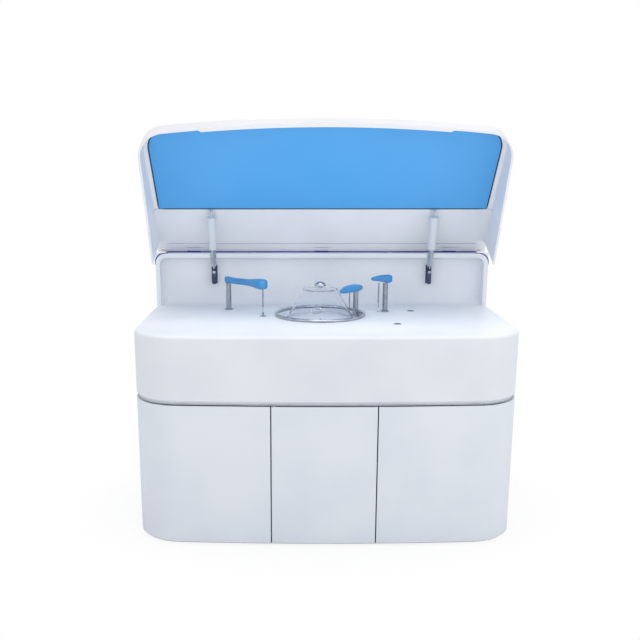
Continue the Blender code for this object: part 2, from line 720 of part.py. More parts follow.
def make_power_inlet():
    """The mains inlet with its rocker switch above it, set in the rear panel."""
    face = BODY_DEPTH + GAP + INLET_FLANGE_DEPTH
    half_w, half_h = INLET_WIDTH / 2 - GAP, INLET_HEIGHT / 2 - GAP
    bm = add_box(bmesh.new(), (INLET_X - half_w, BODY_DEPTH - INLET_DEPTH, INLET_Z - half_h),
                 (INLET_X + half_w, BODY_DEPTH + GAP + INLET_FLANGE_DEPTH / 2, INLET_Z + half_h))
    inlet = piece("power_inlet", bm, RUBBER)
    wide, tall = half_w + INLET_FLANGE, half_h + INLET_FLANGE
    flange = add_box(bmesh.new(), (INLET_X - wide, BODY_DEPTH + GAP, INLET_Z - tall),
                     (INLET_X + wide, face, INLET_Z + tall))
    weld(inlet, flange, "flange")
    pockets = bmesh.new()
    for width, height, z, depth in (
            (SOCKET_WIDTH, SOCKET_HEIGHT, INLET_Z - SOCKET_DROP, SOCKET_DEPTH),
            (ROCKER_WIDTH + ROCKER_ROOM, ROCKER_HEIGHT + 2 * ROCKER_ROOM, INLET_Z + ROCKER_LIFT,
             ROCKER_POCKET)):
        add_box(pockets, (INLET_X - width / 2, face - depth, z - height / 2),
                (INLET_X + width / 2, face + OVERRUN, z + height / 2))
    cut(inlet, pockets, "pockets")
    y, z = face - ROCKER_AXIS_DEPTH, INLET_Z + ROCKER_LIFT
    half = ROCKER_HEIGHT / 2
    profile = [(-ROCKER_DEPTH, -half * ROCKER_FOOT_SHARE), (ROCKER_PROUD, -half),
               (ROCKER_PROUD + ROCKER_CROWN, 0), (ROCKER_PROUD, half),
               (-ROCKER_DEPTH, half * ROCKER_FOOT_SHARE)]
    rocker = add_prism(bmesh.new(), [(y + u, z + v) for u, v in profile],
                       INLET_X - ROCKER_WIDTH / 2, INLET_X + ROCKER_WIDTH / 2, "X")
    piece("power_switch", rocker, RUBBER, pivot=(INLET_X, y, z), turn=-ROCKER_TILT)


def make_upper_shell():
    """The working deck with its apron, an open-bottomed moulding with a round top edge."""
    radius, wall = SHELL_EDGE_RADIUS, SHELL_WALL
    inner = [(radius, DECK_HEIGHT - wall), (wall, DECK_HEIGHT - radius),
             (wall, SHELL_BOTTOM + SHELL_CHAMFER), (SHELL_CHAMFER + wall, SHELL_BOTTOM)]
    outer = [(SHELL_CHAMFER, SHELL_BOTTOM), (0, SHELL_BOTTOM + SHELL_CHAMFER)]
    edge = arc((radius, DECK_HEIGHT - radius), radius, math.pi, math.pi / 2, EDGE_STEPS)
    bm = add_skin(bmesh.new(), [plan_ring(inset, z) for inset, z in inner + outer + edge])
    shell = piece("upper_shell", bm, PAINTED_WHITE)
    low, high = DECK_HEIGHT - OVERRUN, DECK_HEIGHT + OVERRUN
    holes = add_cylinder(bmesh.new(), (CAROUSEL_X, CAROUSEL_Y), BOWL_RADIUS + GAP, low, high,
                         steps=RING_STEPS)
    for place in (SAMPLE_POST, MIXER_POST):
        add_cylinder(holes, place, NECK_RADIUS + GAP, low, high)
    add_cylinder(holes, probe_place(SAMPLE_POST, SAMPLE_HEADING, SAMPLE_REACH),
                 REST_RADIUS + GAP, low, high, steps=16)
    add_cylinder(holes, probe_place(MIXER_POST, MIXER_HEADING, MIXER_REACH), PROBE_BORE_RADIUS,
                 low, high, steps=16)
    for place in (REAR_WELL, FRONT_WELL):
        add_cylinder(holes, place, WELL_RADIUS + GAP, low, high)
    cut(shell, holes, "deck_holes")


def probe_place(post, heading, reach):
    """Where an arm's probe stands on the plan."""
    return post[0] + reach * math.cos(heading), post[1] + reach * math.sin(heading)


def recess_sections():
    """Sections of the housing's recess along X: a cove at the deck and round upper corners."""
    half = HOUSING_HALF_WIDTH - RIM_WIDTH
    top = HOUSING_TOP - RIM_WIDTH
    back = HOUSING_FRONT + RECESS_DEPTH
    front = HOUSING_FRONT - OVERRUN
    low = DECK_HEIGHT - OVERRUN
    corner = arc((half - RECESS_CORNER, top - RECESS_CORNER), RECESS_CORNER, 0, math.pi / 2,
                 EDGE_STEPS)
    stations = corner + [(-x, z) for x, z in reversed(corner)]
    cove = arc((back - COVE_RADIUS, DECK_HEIGHT + COVE_RADIUS + COVE_TOE), COVE_RADIUS,
               -math.pi / 2, 0, COVE_STEPS)
    return [[(x, front, low), (x, cove[0][0], low)] + [(x, y, z) for y, z in cove]
            + [(x, back, z), (x, front, z)] for x, z in stations]


def make_rear_housing():
    """The upstand behind the deck: coved recess in front, hinge trough on top, hollow behind."""
    low = DECK_HEIGHT + GAP
    half, corner = HOUSING_HALF_WIDTH, HOUSING_CORNER
    top = HOUSING_TOP
    outline = [(half, low)] + arc((half - corner, top - corner), corner, 0, math.pi / 2, CORNER_STEPS)
    outline += [(-x, z) for x, z in reversed(outline)]
    housing = piece("rear_housing", add_prism(bmesh.new(), outline, HOUSING_FRONT, HOUSING_BACK, "Y"),
                    LINER_GREY)
    cut(housing, add_skin(bmesh.new(), recess_sections()), "recess")
    back_wall = HOUSING_FRONT + RECESS_DEPTH + HOUSING_WALL
    hollow = add_box(bmesh.new(), (-half + HOUSING_WALL, back_wall, low - OVERRUN),
                     (half - HOUSING_WALL, HOUSING_BACK + OVERRUN,
                      top - TROUGH_DEPTH - TROUGH_FLOOR))
    cut(housing, hollow, "hollow")
    trough = bmesh.new()
    inner = HINGE_WEB_X - HINGE_WEB_HALF
    outer = HINGE_WEB_X + HINGE_WEB_HALF
    for x0, x1 in ((-TROUGH_HALF_LENGTH, -outer), (-inner, inner), (outer, TROUGH_HALF_LENGTH)):
        add_box(trough, (x0, HINGE_Y - TROUGH_FRONT_ROOM, top - TROUGH_DEPTH),
                (x1, HINGE_Y + TROUGH_FRONT_ROOM, top + OVERRUN))
    cut(housing, trough, "trough")
    reach = TROUGH_HALF_LENGTH + HINGE_ROD_END
    bore = add_cylinder(bmesh.new(), (HINGE_Y, HINGE_Z), HINGE_ROD_RADIUS + GAP, -reach, reach, "X", 16)
    cut(housing, bore, "rod_bore")
    notches = bmesh.new()
    for x in (-STRUT_X, STRUT_X):
        add_box(notches, (x - NOTCH_HALF, HOUSING_FRONT - OVERRUN, top - STRUT_NOTCH_HEIGHT),
                (x + NOTCH_HALF, HOUSING_FRONT + STRUT_NOTCH_DEPTH, top + OVERRUN))
    cut(housing, notches, "strut_notches")
    rod = add_cylinder(bmesh.new(), (HINGE_Y, HINGE_Z), HINGE_ROD_RADIUS, GAP - reach, reach - GAP,
                       "X", 16)
    piece("hinge_rod", rod, STEEL)


def make_rear_cover():
    """The back of the upstand, with two fields of vent slots."""
    half = HOUSING_HALF_WIDTH
    outline = [(half, DECK_HEIGHT + GAP)]
    outline += arc((half - HOUSING_CORNER, HOUSING_TOP - HOUSING_CORNER), HOUSING_CORNER,
                   0, math.pi / 2, CORNER_STEPS)
    outline += [(-x, z) for x, z in reversed(outline)]
    front, back = HOUSING_BACK + GAP, HOUSING_BACK + GAP + REAR_COVER
    cover = piece("rear_cover", add_prism(bmesh.new(), outline, front, back, "Y"), PANEL_WHITE)
    slots = bmesh.new()
    middle = (DECK_HEIGHT + HOUSING_TOP) / 2 - COVER_VENT_COUNT * VENT_PITCH / 2
    for x in (-COVER_VENT_X, COVER_VENT_X):
        for row in range(COVER_VENT_COUNT):
            z = middle + row * VENT_PITCH
            add_box(slots, (x - COVER_VENT_LENGTH / 2, front - OVERRUN, z),
                    (x + COVER_VENT_LENGTH / 2, back + OVERRUN, z + VENT_HEIGHT))
    cut(cover, slots, "vents")


def roof_height(y):
    """Outer height of the closed hood's roof: a slope, level over the rear housing."""
    return HOOD_ROOF_REAR - HOOD_SLOPE * max(HOUSING_FRONT - y, 0)


def hood_taper(x, y):
    """The hood narrows slightly towards its rear."""
    share = (y - HOOD_TAPER_START) / (HOOD_TIP - HOOD_TAPER_START)
    share = min(max(share, 0), 1)
    return x * (1 - share * (1 - HOOD_HALF_REAR / HOOD_HALF_FRONT))


def hood_path(inset, to_y):
    """The hood's edge from the rear left, round the front, to the rear right, set inward."""
    right = front_half(inset, 0, HOOD_HALF_FRONT, HOOD_BOW, HOOD_CORNER_RADIUS)
    right = [(x, y + HOOD_FRONT) for x, y in right]
    right += [(HOOD_HALF_FRONT - inset, y) for y in (HOOD_TAPER_START, to_y)]
    whole = [(-x, y) for x, y in reversed(right[1:])] + right
    return [(hood_taper(x, y), y) for x, y in whole]


def hood_section():
    """Section of the hood's edge as (inset, datum, height): datum 0 is the rim, 1 the roof."""
    edge = arc((HOOD_EDGE_RADIUS, -HOOD_EDGE_RADIUS), HOOD_EDGE_RADIUS, math.pi, math.pi / 2,
               EDGE_STEPS)
    outer = [(0, 0, 0)] + [(inset, 1, rise) for inset, rise in edge] + [(HOOD_RIM, 1, 0)]
    return outer + [(HOOD_RIM, 1, -HOOD_WALL), (HOOD_WALL + HOOD_INNER_RADIUS, 1, -HOOD_WALL),
                    (HOOD_WALL, 1, -HOOD_WALL - HOOD_INNER_RADIUS),
                    (HOOD_WALL, 0, HOOD_LIP_THICKNESS), (HOOD_LIP, 0, HOOD_LIP_THICKNESS),
                    (HOOD_LIP, 0, 0)]


def hood_point(x, y, datum, height):
    """A point of the closed hood above its rim or below its roof."""
    return (x, y, (roof_height(y) if datum else HOOD_BOTTOM) + height)


def hood_piece(name, bm, finish):
    """A piece drawn on the closed hood and swung open about the hinge."""
    return piece(name, bm, finish, pivot=HINGE, turn=-HOOD_OPEN)


def make_hood_frame():
    """Skirt, side walls and roof rim of the front part of the hood, with the handle ledge."""
    lines = [(hood_path(inset, HOOD_SEAM), datum, height) for inset, datum, height in hood_section()]
    sections = [[hood_point(*line[i], datum, height) for line, datum, height in lines]
                for i in range(len(lines[0][0]))]
    frame = hood_piece("hood_frame", add_skin(bmesh.new(), sections), PAINTED_WHITE)
    outer, inner = HOOD_WALL / 2, HANDLE_DEPTH
    ledge = []
    for inset, half in ((outer, HANDLE_HALF_LENGTH + HANDLE_END_SLANT), (inner, HANDLE_HALF_LENGTH)):
        radius, _ = bowed_corner(HOOD_HALF_FRONT, HOOD_BOW, HOOD_CORNER_RADIUS)
        xs = np.linspace(-half, half, 2 * BOW_STEPS + 1)
        ledge.append([(x, HOOD_FRONT + radius - math.sqrt((radius - inset) ** 2 - x ** 2))
                      for x in xs])
    outline = ledge[0] + ledge[1][::-1]
    weld(frame, add_prism(bmesh.new(), outline, HOOD_BOTTOM, HOOD_BOTTOM + HANDLE_HEIGHT), "handle")


def make_hood_window():
    """The acrylic window that fills the roof between the rims, level with them."""
    inset = HOOD_RIM + GAP
    line = hood_path(inset, HOOD_SEAM)
    rings = [[(x, y, roof_height(y) + rise) for x, y in line] for rise in (-WINDOW_THICKNESS, 0)]
    hood_piece("hood_window", add_skin(bmesh.new(), rings), WINDOW_BLUE)


def rear_section_ring(y):
    """Closed section of the hood's rear moulding at y: an arch with lips at its feet."""
    half = HOOD_HALF_FRONT
    roof = roof_height(y)
    right = [(half - HOOD_LIP, HOOD_BOTTOM), (half, HOOD_BOTTOM)]
    right += arc((half - HOOD_EDGE_RADIUS, roof - HOOD_EDGE_RADIUS), HOOD_EDGE_RADIUS, 0,
                 math.pi / 2, EDGE_STEPS)
    bend = HOOD_EDGE_RADIUS + HOOD_INNER_RADIUS
    inner = arc((half - HOOD_WALL - bend, roof - HOOD_WALL - bend), bend, math.pi / 2, 0,
                EDGE_STEPS)
    inner += [(half - HOOD_WALL, HOOD_BOTTOM + HOOD_LIP_THICKNESS),
              (half - HOOD_LIP, HOOD_BOTTOM + HOOD_LIP_THICKNESS)]
    left = [(-x, z) for x, z in reversed(right)]
    loop = right + left + [(-x, z) for x, z in reversed(inner)] + inner
    return [(hood_taper(x, y), y, z) for x, z in loop]


def make_hood_rear():
    """The hood's rear moulding: arch, lip over the housing, and three knuckles on the hinge rod."""
    stations = (HOOD_SEAM + GAP, HOUSING_FRONT, HOOD_LIP_BACK)
    bm = add_skin(bmesh.new(), [rear_section_ring(y) for y in stations])
    rear = hood_piece("hood_rear_section", bm, LINER_GREY)
    under = HOUSING_TOP + HOOD_LIP_CLEARANCE
    walls = add_box(bmesh.new(), (-HALF_WIDTH, HOOD_TIP, HOOD_BOTTOM - OVERRUN),
                    (HALF_WIDTH, HOOD_LIP_BACK + OVERRUN, under))
    cut(rear, walls, "tips")
    radius = KNUCKLE_RADIUS
    front, top = HOOD_LIP_BACK - radius, HOOD_ROOF_REAR - GAP
    outline = [(front, under + GAP), (front, top), (HOOD_LIP_BACK, top)]
    outline += arc((HINGE_Y, HINGE_Z), radius, math.pi / 4, -math.pi, 2 * EDGE_STEPS)
    outline += [(HINGE_Y - radius, under + GAP)]
    knuckles = bmesh.new()
    for x in (-KNUCKLE_X, 0, KNUCKLE_X):
        add_prism(knuckles, outline, x - KNUCKLE_HALF, x + KNUCKLE_HALF, "X")
    weld(rear, knuckles, "knuckles")
    bore = add_cylinder(bmesh.new(), (HINGE_Y, HINGE_Z), HINGE_ROD_RADIUS + HINGE_ROD_CLEARANCE,
                        -HALF_WIDTH, HALF_WIDTH, "X", 16)
    cut(rear, bore, "rod_bore")


def swing(point, angle):
    """A point of the side view (y, z) turned about the hood hinge; positive closes the hood."""
    y, z = point[0] - HINGE_Y, point[1] - HINGE_Z
    return (HINGE_Y + y * math.cos(angle) - z * math.sin(angle),
            HINGE_Z + y * math.sin(angle) + z * math.cos(angle))


def strut_values():
    """Open length, closed length, lean of the open strut, and its turn as the hood closes."""
    upper = (STRUT_UPPER_Y, STRUT_UPPER_Z)
    closed = swing(upper, HOOD_OPEN)
    reach = [(p[0] - STRUT_LOWER_Y, p[1] - STRUT_LOWER_Z) for p in (upper, closed)]
    lengths = [math.hypot(*r) for r in reach]
    leans = [math.atan2(-r[0], r[1]) for r in reach]
    return lengths[0], lengths[1], leans[0], leans[1] - leans[0]


def make_strut(side, x):
    """One gas strut: rod on the housing's bracket, tube on the hood's bracket."""
    length, closed, lean, _ = strut_values()
    mouth = length - closed + STRUT_EYE_RADIUS + STRUT_SHOULDER
    rod_end = mouth + STRUT_ENGAGED
    base = Vector((x, STRUT_LOWER_Y, STRUT_LOWER_Z))
    centre = (x, STRUT_LOWER_Y)
    shoulder = STRUT_LOWER_Z + STRUT_EYE_RADIUS - STRUT_CHEEK_GAP
    rod_bm = add_cylinder(bmesh.new(), centre, STRUT_ROD_RADIUS, shoulder, base.z + rod_end, steps=16)
    rod = piece(f"{side}_strut_rod", rod_bm, CHROME, pivot=base, turn=lean)
    radius = STRUT_EYE_RADIUS
    neck = STRUT_ROD_RADIUS * 2 / 3
    eye = arc((STRUT_LOWER_Y, STRUT_LOWER_Z), radius, -math.pi, 0, 8)
    eye += [(STRUT_LOWER_Y + neck, shoulder + neck), (STRUT_LOWER_Y - neck, shoulder + neck)]
    weld(rod, add_prism(bmesh.new(), eye, x - STRUT_EYE_HALF, x + STRUT_EYE_HALF, "X"), "eye")
    hole = add_cylinder(bmesh.new(), (STRUT_LOWER_Y, STRUT_LOWER_Z),
                        STRUT_PIN_RADIUS + STRUT_PIN_CLEARANCE, x - OVERRUN, x + OVERRUN, "X", 16)
    cut(rod, hole, "pin_hole")
    bore = STRUT_ROD_RADIUS + STRUT_BORE_CLEARANCE
    bottom = base.z + mouth
    top = base.z + length - STRUT_TUBE_RADIUS
    bore_end = bottom + (length - closed) + STRUT_ENGAGED + STRUT_SHOULDER
    tube_bm = add_turned(bmesh.new(), centre,
                         [(0, bore_end), (bore, bore_end), (bore, bottom), (STRUT_TUBE_RADIUS, bottom),
                          (STRUT_TUBE_RADIUS, top), (0, top)], steps=20)
    tube = piece(f"{side}_strut_tube", tube_bm, PANEL_WHITE, pivot=base, turn=lean)
    tongue = add_box(bmesh.new(), (x + STRUT_CHEEK_GAP, STRUT_LOWER_Y - radius, top - STRUT_CHEEK),
                     (x + STRUT_CHEEK_GAP + STRUT_CHEEK, STRUT_LOWER_Y + radius,
                      base.z + length + radius))
    weld(tube, tongue, "tongue")


def make_strut_brackets(side, x):
    """The dark bracket in the housing's recess and the plate on the hood."""
    wall = HOUSING_FRONT + RECESS_DEPTH - GAP
    cheek_in = STRUT_EYE_HALF + STRUT_CHEEK_GAP
    cheek_out = cheek_in + STRUT_CHEEK
    y, z = STRUT_LOWER_Y, STRUT_LOWER_Z
    half = STRUT_EYE_RADIUS * 3 / 4
    base = add_box(bmesh.new(), (x - NOTCH_HALF, wall - BRACKET_BASE, BRACKET_FOOT_BOTTOM),
                   (x + NOTCH_HALF, wall, z + STRUT_EYE_RADIUS))
    bracket = piece(f"{side}_strut_bracket", base, DARK_STEEL)
    foot = add_box(bmesh.new(), (x - cheek_out, y - half, BRACKET_FOOT_BOTTOM + GAP),
                   (x + cheek_out, wall - BRACKET_BASE / 2, BRACKET_FOOT_TOP))
    weld(bracket, foot, "foot")
    cheek = arc((y, z), half, math.pi / 2, 3 * math.pi / 2, 6)
    cheek += [(wall - BRACKET_BASE / 2, z - half), (wall - BRACKET_BASE / 2, z + half)]
    cheeks = bmesh.new()
    for low, high in ((-cheek_out, -cheek_in), (cheek_in, cheek_out)):
        add_prism(cheeks, cheek, x + low, x + high, "X")
    weld(bracket, cheeks, "cheeks")
    pin = add_cylinder(bmesh.new(), (y, z), STRUT_PIN_RADIUS, x - cheek_out + GAP,
                       x + cheek_out - GAP, "X", 16)
    weld(bracket, pin, "pin")
    py, pz = swing((STRUT_UPPER_Y, STRUT_UPPER_Z), HOOD_OPEN)
    start = HOOD_SEAM + HOOD_LIP_THICKNESS
    end = start + HOOD_BRACKET_LENGTH

    def under(v):
        return roof_height(v) - HOOD_WALL - GAP * 2
    base_line = [(start, under(start)), (end, under(end)), (end, under(end) - STRUT_CHEEK),
                 (start, under(start) - STRUT_CHEEK)]
    plate = piece(f"{side}_hood_bracket", add_prism(bmesh.new(), base_line, x - STRUT_TUBE_RADIUS,
                                                    x + STRUT_TUBE_RADIUS, "X"), DARK_STEEL,
                  pivot=HINGE, turn=-HOOD_OPEN)
    tab = [(py + half, under(py + half) - STRUT_CHEEK / 2), (py - half + GAP, under(py) - STRUT_CHEEK / 2)]
    tab += arc((py, pz), half - GAP, math.pi, 2 * math.pi, 6)
    weld(plate, add_prism(bmesh.new(), tab, x - STRUT_CHEEK_GAP - STRUT_CHEEK, x - STRUT_CHEEK_GAP,
                          "X"), "tab")


def make_carousel():
    """Bowl with its shelf, chrome ring, rotor with cells, and the shaft on its motor."""
    centre = (CAROUSEL_X, CAROUSEL_Y)
    deck, wall = DECK_HEIGHT, BOWL_WALL
    shelf = deck - SHELF_DROP
    floor = deck - BOWL_DEPTH
    lip = deck + GAP
    bore = SHAFT_RADIUS + SHAFT_CLEARANCE
    profile = [(bore, floor), (SHELF_INNER_RADIUS + wall, floor), (SHELF_INNER_RADIUS + wall, shelf - wall),
               (BOWL_RADIUS, shelf - wall), (BOWL_RADIUS, lip), (BOWL_RADIUS + BOWL_FLANGE, lip),
               (BOWL_RADIUS + BOWL_FLANGE, lip + BOWL_FLANGE_THICKNESS),
               (BOWL_RADIUS - wall, lip + BOWL_FLANGE_THICKNESS), (BOWL_RADIUS - wall, shelf),
               (SHELF_INNER_RADIUS, shelf), (SHELF_INNER_RADIUS, floor + wall), (bore, floor + wall)]
    bowl = piece("carousel_bowl", turned_ring(centre, profile, RING_STEPS), PAINTED_WHITE)
    cut(bowl, add_cylinder(bmesh.new(), REAGENT_POST, NECK_RADIUS + GAP, shelf - OVERRUN,
                           shelf + OVERRUN), "arm_hole")
    ring_z = lip + BOWL_FLANGE_THICKNESS + GAP + RING_SECTION
    hoop = [(RING_RADIUS + u, ring_z + v) for u, v in circle((0, 0), RING_SECTION, 10)]
    piece("carousel_ring", turned_ring(centre, hoop, RING_STEPS), CHROME)
    top = shelf - ROTOR_DROP
    outer = SHELF_INNER_RADIUS - ROTOR_CLEARANCE
    hub_low = top - ROTOR_SKIRT
    rotor_profile = [(0, top), (outer, top), (outer, top - ROTOR_SKIRT),
                     (outer - ROTOR_WALL, top - ROTOR_SKIRT), (outer - ROTOR_WALL, top - ROTOR_THICKNESS),
                     (ROTOR_HUB_RADIUS, top - ROTOR_THICKNESS), (ROTOR_HUB_RADIUS, hub_low),
                     (SHAFT_RADIUS + GAP, hub_low), (SHAFT_RADIUS + GAP, top - ROTOR_THICKNESS),
                     (0, top - ROTOR_THICKNESS)]
    rotor = piece("carousel_rotor", add_turned(bmesh.new(), centre, rotor_profile, RING_STEPS),
                  NATURAL_PLASTIC, pivot=(*centre, top))
    cells = bmesh.new()
    for angle in np.arange(ROTOR_CELL_COUNT) * 2 * math.pi / ROTOR_CELL_COUNT:
        place = (centre[0] + ROTOR_CELL_CIRCLE * math.cos(angle),
                 centre[1] + ROTOR_CELL_CIRCLE * math.sin(angle))
        add_cylinder(cells, place, ROTOR_CELL_RADIUS, top - ROTOR_THICKNESS * 3 / 4, top + OVERRUN,
                     steps=8)
    cut(rotor, cells, "cells")
    motor_top = floor - GAP
    shaft_low = motor_top - MOTOR_HEIGHT / 2
    shaft = add_cylinder(bmesh.new(), centre, SHAFT_RADIUS, shaft_low, top - ROTOR_THICKNESS - GAP)
    piece("carousel_shaft", shaft, STEEL, pivot=(*centre, top))
    boss = motor_top - MOTOR_BOSS_HEIGHT
    body = add_box(bmesh.new(), (centre[0] - MOTOR_HALF, centre[1] - MOTOR_HALF, motor_top - MOTOR_HEIGHT),
                   (centre[0] + MOTOR_HALF, centre[1] + MOTOR_HALF, boss))
    motor = piece("carousel_motor", body, DARK_STEEL)
    weld(motor, add_cylinder(bmesh.new(), centre, MOTOR_BOSS_RADIUS, boss - GAP, motor_top), "boss")
    cut(motor, add_cylinder(bmesh.new(), centre, bore, shaft_low - GAP, motor_top + OVERRUN), "bore")


def turned_ring(centre, profile, steps):
    """A closed profile carried round a vertical axis that it doesn't touch."""
    bm = bmesh.new()
    rings = [[bm.verts.new((u, v, z)) for u, v in circle(centre, radius, steps)]
             for radius, z in profile]
    for a, b in zip(rings, rings[1:] + rings[:1]):
        for i in range(steps):
            j = (i + 1) % steps
            bm.faces.new((a[i], a[j], b[j], b[i]))
    return bm


def crown_height(radius):
    """Height of the cover's crown above the deck, at a radius from its axis."""
    return COVER_HEIGHT - COVER_CROWN * (radius / COVER_TOP_RADIUS) ** 2


def make_cover():
    """The clear cover standing on the shelf, with its knob, clip and latch ring."""
    centre = (CAROUSEL_X, CAROUSEL_Y)
    deck, wall = DECK_HEIGHT, COVER_WALL
    base = deck - SHELF_DROP + GAP
    top = COVER_TOP_RADIUS
    knob_seat = KNOB_NECK_RADIUS + GAP
    radii = [knob_seat + (top - knob_seat) * share for share in (0, 1 / 3, 2 / 3, 1)]
    crown = [(0, deck + crown_height(knob_seat))] + [(r, deck + crown_height(r)) for r in radii]
    foot = COVER_BASE_RADIUS + COVER_FLANGE
    outer = crown + [(COVER_BASE_RADIUS, base + wall), (foot, base + wall), (foot, base),
                     (COVER_BASE_RADIUS - wall, base)]
    inner = [(r - wall, z - wall) for r, z in crown[:1:-1]] + [(0, crown[0][1] - wall)]
    cover = add_turned(bmesh.new(), centre, outer + inner, COVER_STEPS)
    pivot = (*centre, base)
    piece("carousel_cover", cover, CLEAR, pivot=pivot)
    seat = crown[0][1] + GAP
    neck_top = seat + KNOB_NECK_HEIGHT
    dome = arc((0, neck_top), KNOB_RADIUS, 0, math.pi / 2, 6)
    rise = KNOB_HEIGHT - KNOB_NECK_HEIGHT
    knob = [(0, seat), (KNOB_NECK_RADIUS, seat), (KNOB_NECK_RADIUS, neck_top)]
    knob += [(r, neck_top + (z - neck_top) * rise / KNOB_RADIUS) for r, z in dome[:-1]]
    knob += [(0, neck_top + rise)]
    piece("cover_knob", add_turned(bmesh.new(), centre, knob, 24), CHROME, pivot=pivot)
    make_clip(pivot)
    make_latch(pivot)


def make_clip(pivot):
    """A small clip that lies on the left edge of the cover's crown."""
    bm = bmesh.new()
    x1 = COVER_TOP_RADIUS - COVER_WALL
    x0 = x1 - CLIP_WIDTH
    rings = []
    for v in (-CLIP_LENGTH / 2, CLIP_LENGTH / 2):
        low0 = DECK_HEIGHT + crown_height(x0) + GAP
        low1 = DECK_HEIGHT + crown_height(x1) + GAP
        rings.append([(CAROUSEL_X - x0, CAROUSEL_Y + v, low0), (CAROUSEL_X - x1, CAROUSEL_Y + v, low1),
                      (CAROUSEL_X - x1, CAROUSEL_Y + v, low1 + CLIP_HEIGHT / 2),
                      (CAROUSEL_X - x0, CAROUSEL_Y + v, low0 + CLIP_HEIGHT)])
    piece("cover_clip", add_skin(bm, rings), CHROME, pivot=pivot)


def make_latch(pivot):
    """An oval pull ring that lies on the cover's front flank."""
    base_z = DECK_HEIGHT - SHELF_DROP + GAP + COVER_WALL
    top_z = DECK_HEIGHT + crown_height(COVER_TOP_RADIUS)
    flank = Vector((0, -(COVER_TOP_RADIUS - COVER_BASE_RADIUS), top_z - base_z)).normalized()
    turn = Matrix.Rotation(-LATCH_TURN, 3, "Z")
    up = turn @ flank
    across = turn @ Vector((1, 0, 0))
    out = across.cross(up)
    foot = turn @ Vector((0, -COVER_BASE_RADIUS, 0))
    middle = Vector((CAROUSEL_X, CAROUSEL_Y, base_z)) + foot + up * LATCH_RISE
    middle += out * (LATCH_WIRE + GAP)
    rings = []
    steps = 24
    for angle in np.arange(steps) * 2 * math.pi / steps:
        along = across * math.cos(angle) * LATCH_HALF_LENGTH + up * math.sin(angle) * LATCH_HALF_HEIGHT
        outward = along.normalized()
        rings.append([middle + along + outward * (u * LATCH_WIRE) + out * (v * LATCH_WIRE)
                      for u, v in circle((0, 0), 1, 8)])
    bm = add_skin(bmesh.new(), rings + rings[:1], closed_ends=False)
    bmesh.ops.remove_doubles(bm, verts=bm.verts, dist=GAP / 10)
    piece("cover_latch", bm, CHROME, pivot=pivot)


def heading_box(bm, place, heading, half_length, half_width, low, high):
    """A box whose long side lies across an arm's heading."""
    turn = Matrix.Translation((*place, (low + high) / 2)) @ Matrix.Rotation(heading, 4, "Z")
    size = Matrix.Diagonal((2 * half_width, 2 * half_length, high - low, 1))
    bmesh.ops.create_cube(bm, size=1, matrix=turn @ size)
    return bm


def rod_places(place, heading):
    """Where the two guide rods stand on the plan."""
    across = (-math.sin(heading) * GUIDE_ROD_X, math.cos(heading) * GUIDE_ROD_X)
    return [(place[0] + s * across[0], place[1] + s * across[1]) for s in (-1, 1)]


def make_guide(name, place, heading, seat, thickness, flange, stroke):
    """Flanged bush through the deck, with a plate under it and two guide rods."""
    bore = POST_RADIUS + POST_CLEARANCE
    under = seat - thickness - GAP
    plate = under - GUIDE_PLATE
    profile = [(bore, plate), (NECK_RADIUS, plate), (NECK_RADIUS, seat + GAP), (flange, seat + GAP),
               (flange, seat + FLANGE_HEIGHT), (bore, seat + FLANGE_HEIGHT)]
    guide = piece(f"{name}_guide", turned_ring(place, profile, 24), STEEL)
    blank = heading_box(bmesh.new(), place, heading, GUIDE_HALF_LENGTH, GUIDE_HALF_WIDTH, plate, under)
    weld(guide, blank, "plate")
    cut(guide, add_cylinder(bmesh.new(), place, bore, plate - OVERRUN, seat + OVERRUN), "bore")
    rods = bmesh.new()
    low = DECK_HEIGHT - CARRIAGE_DROP - CARRIAGE_HEIGHT - stroke - GUIDE_ROD_END
    for spot in rod_places(place, heading):
        add_cylinder(rods, spot, GUIDE_ROD_RADIUS, low, plate + GUIDE_PLATE / 2, steps=12)
    weld(guide, rods, "rods")


def make_carriage(name, place, heading):
    """The block that carries the post up and down on the guide rods."""
    top = DECK_HEIGHT - CARRIAGE_DROP
    low = top - CARRIAGE_HEIGHT
    block = heading_box(bmesh.new(), place, heading, GUIDE_HALF_LENGTH, GUIDE_HALF_WIDTH, low, top)
    carriage = piece(f"{name}_carriage", block, DARK_STEEL, pivot=(*place, top))
    bores = add_cylinder(bmesh.new(), place, POST_RADIUS + POST_CLEARANCE, low - OVERRUN, top + OVERRUN)
    for spot in rod_places(place, heading):
        add_cylinder(bores, spot, GUIDE_ROD_RADIUS + GUIDE_ROD_CLEARANCE, low - OVERRUN,
                     top + OVERRUN, steps=12)
    cut(carriage, bores, "bores")


def make_post(name, place, under):
    """The steel post that carries the arm, with a collar that rests on the carriage."""
    low = DECK_HEIGHT - POST_BELOW_DECK
    collar = DECK_HEIGHT - CARRIAGE_DROP + GAP
    profile = [(0, low), (POST_RADIUS, low), (POST_RADIUS, collar), (COLLAR_RADIUS, collar),
               (COLLAR_RADIUS, collar + COLLAR_HEIGHT), (POST_RADIUS, collar + COLLAR_HEIGHT),
               (POST_RADIUS, under - GAP), (0, under - GAP)]
    piece(f"{name}_post", add_turned(bmesh.new(), place, profile, 24), STEEL, pivot=(*place, under))


def arm_end(end, half, inward):
    """Stations of a round end as (distance, width share), from its tip inwards."""
    return [(end + inward * half * (1 - math.cos(a)), math.sin(a))
            for a in np.linspace(ARM_TIP_ANGLE, math.pi / 2, ARM_CORNER_STEPS)]


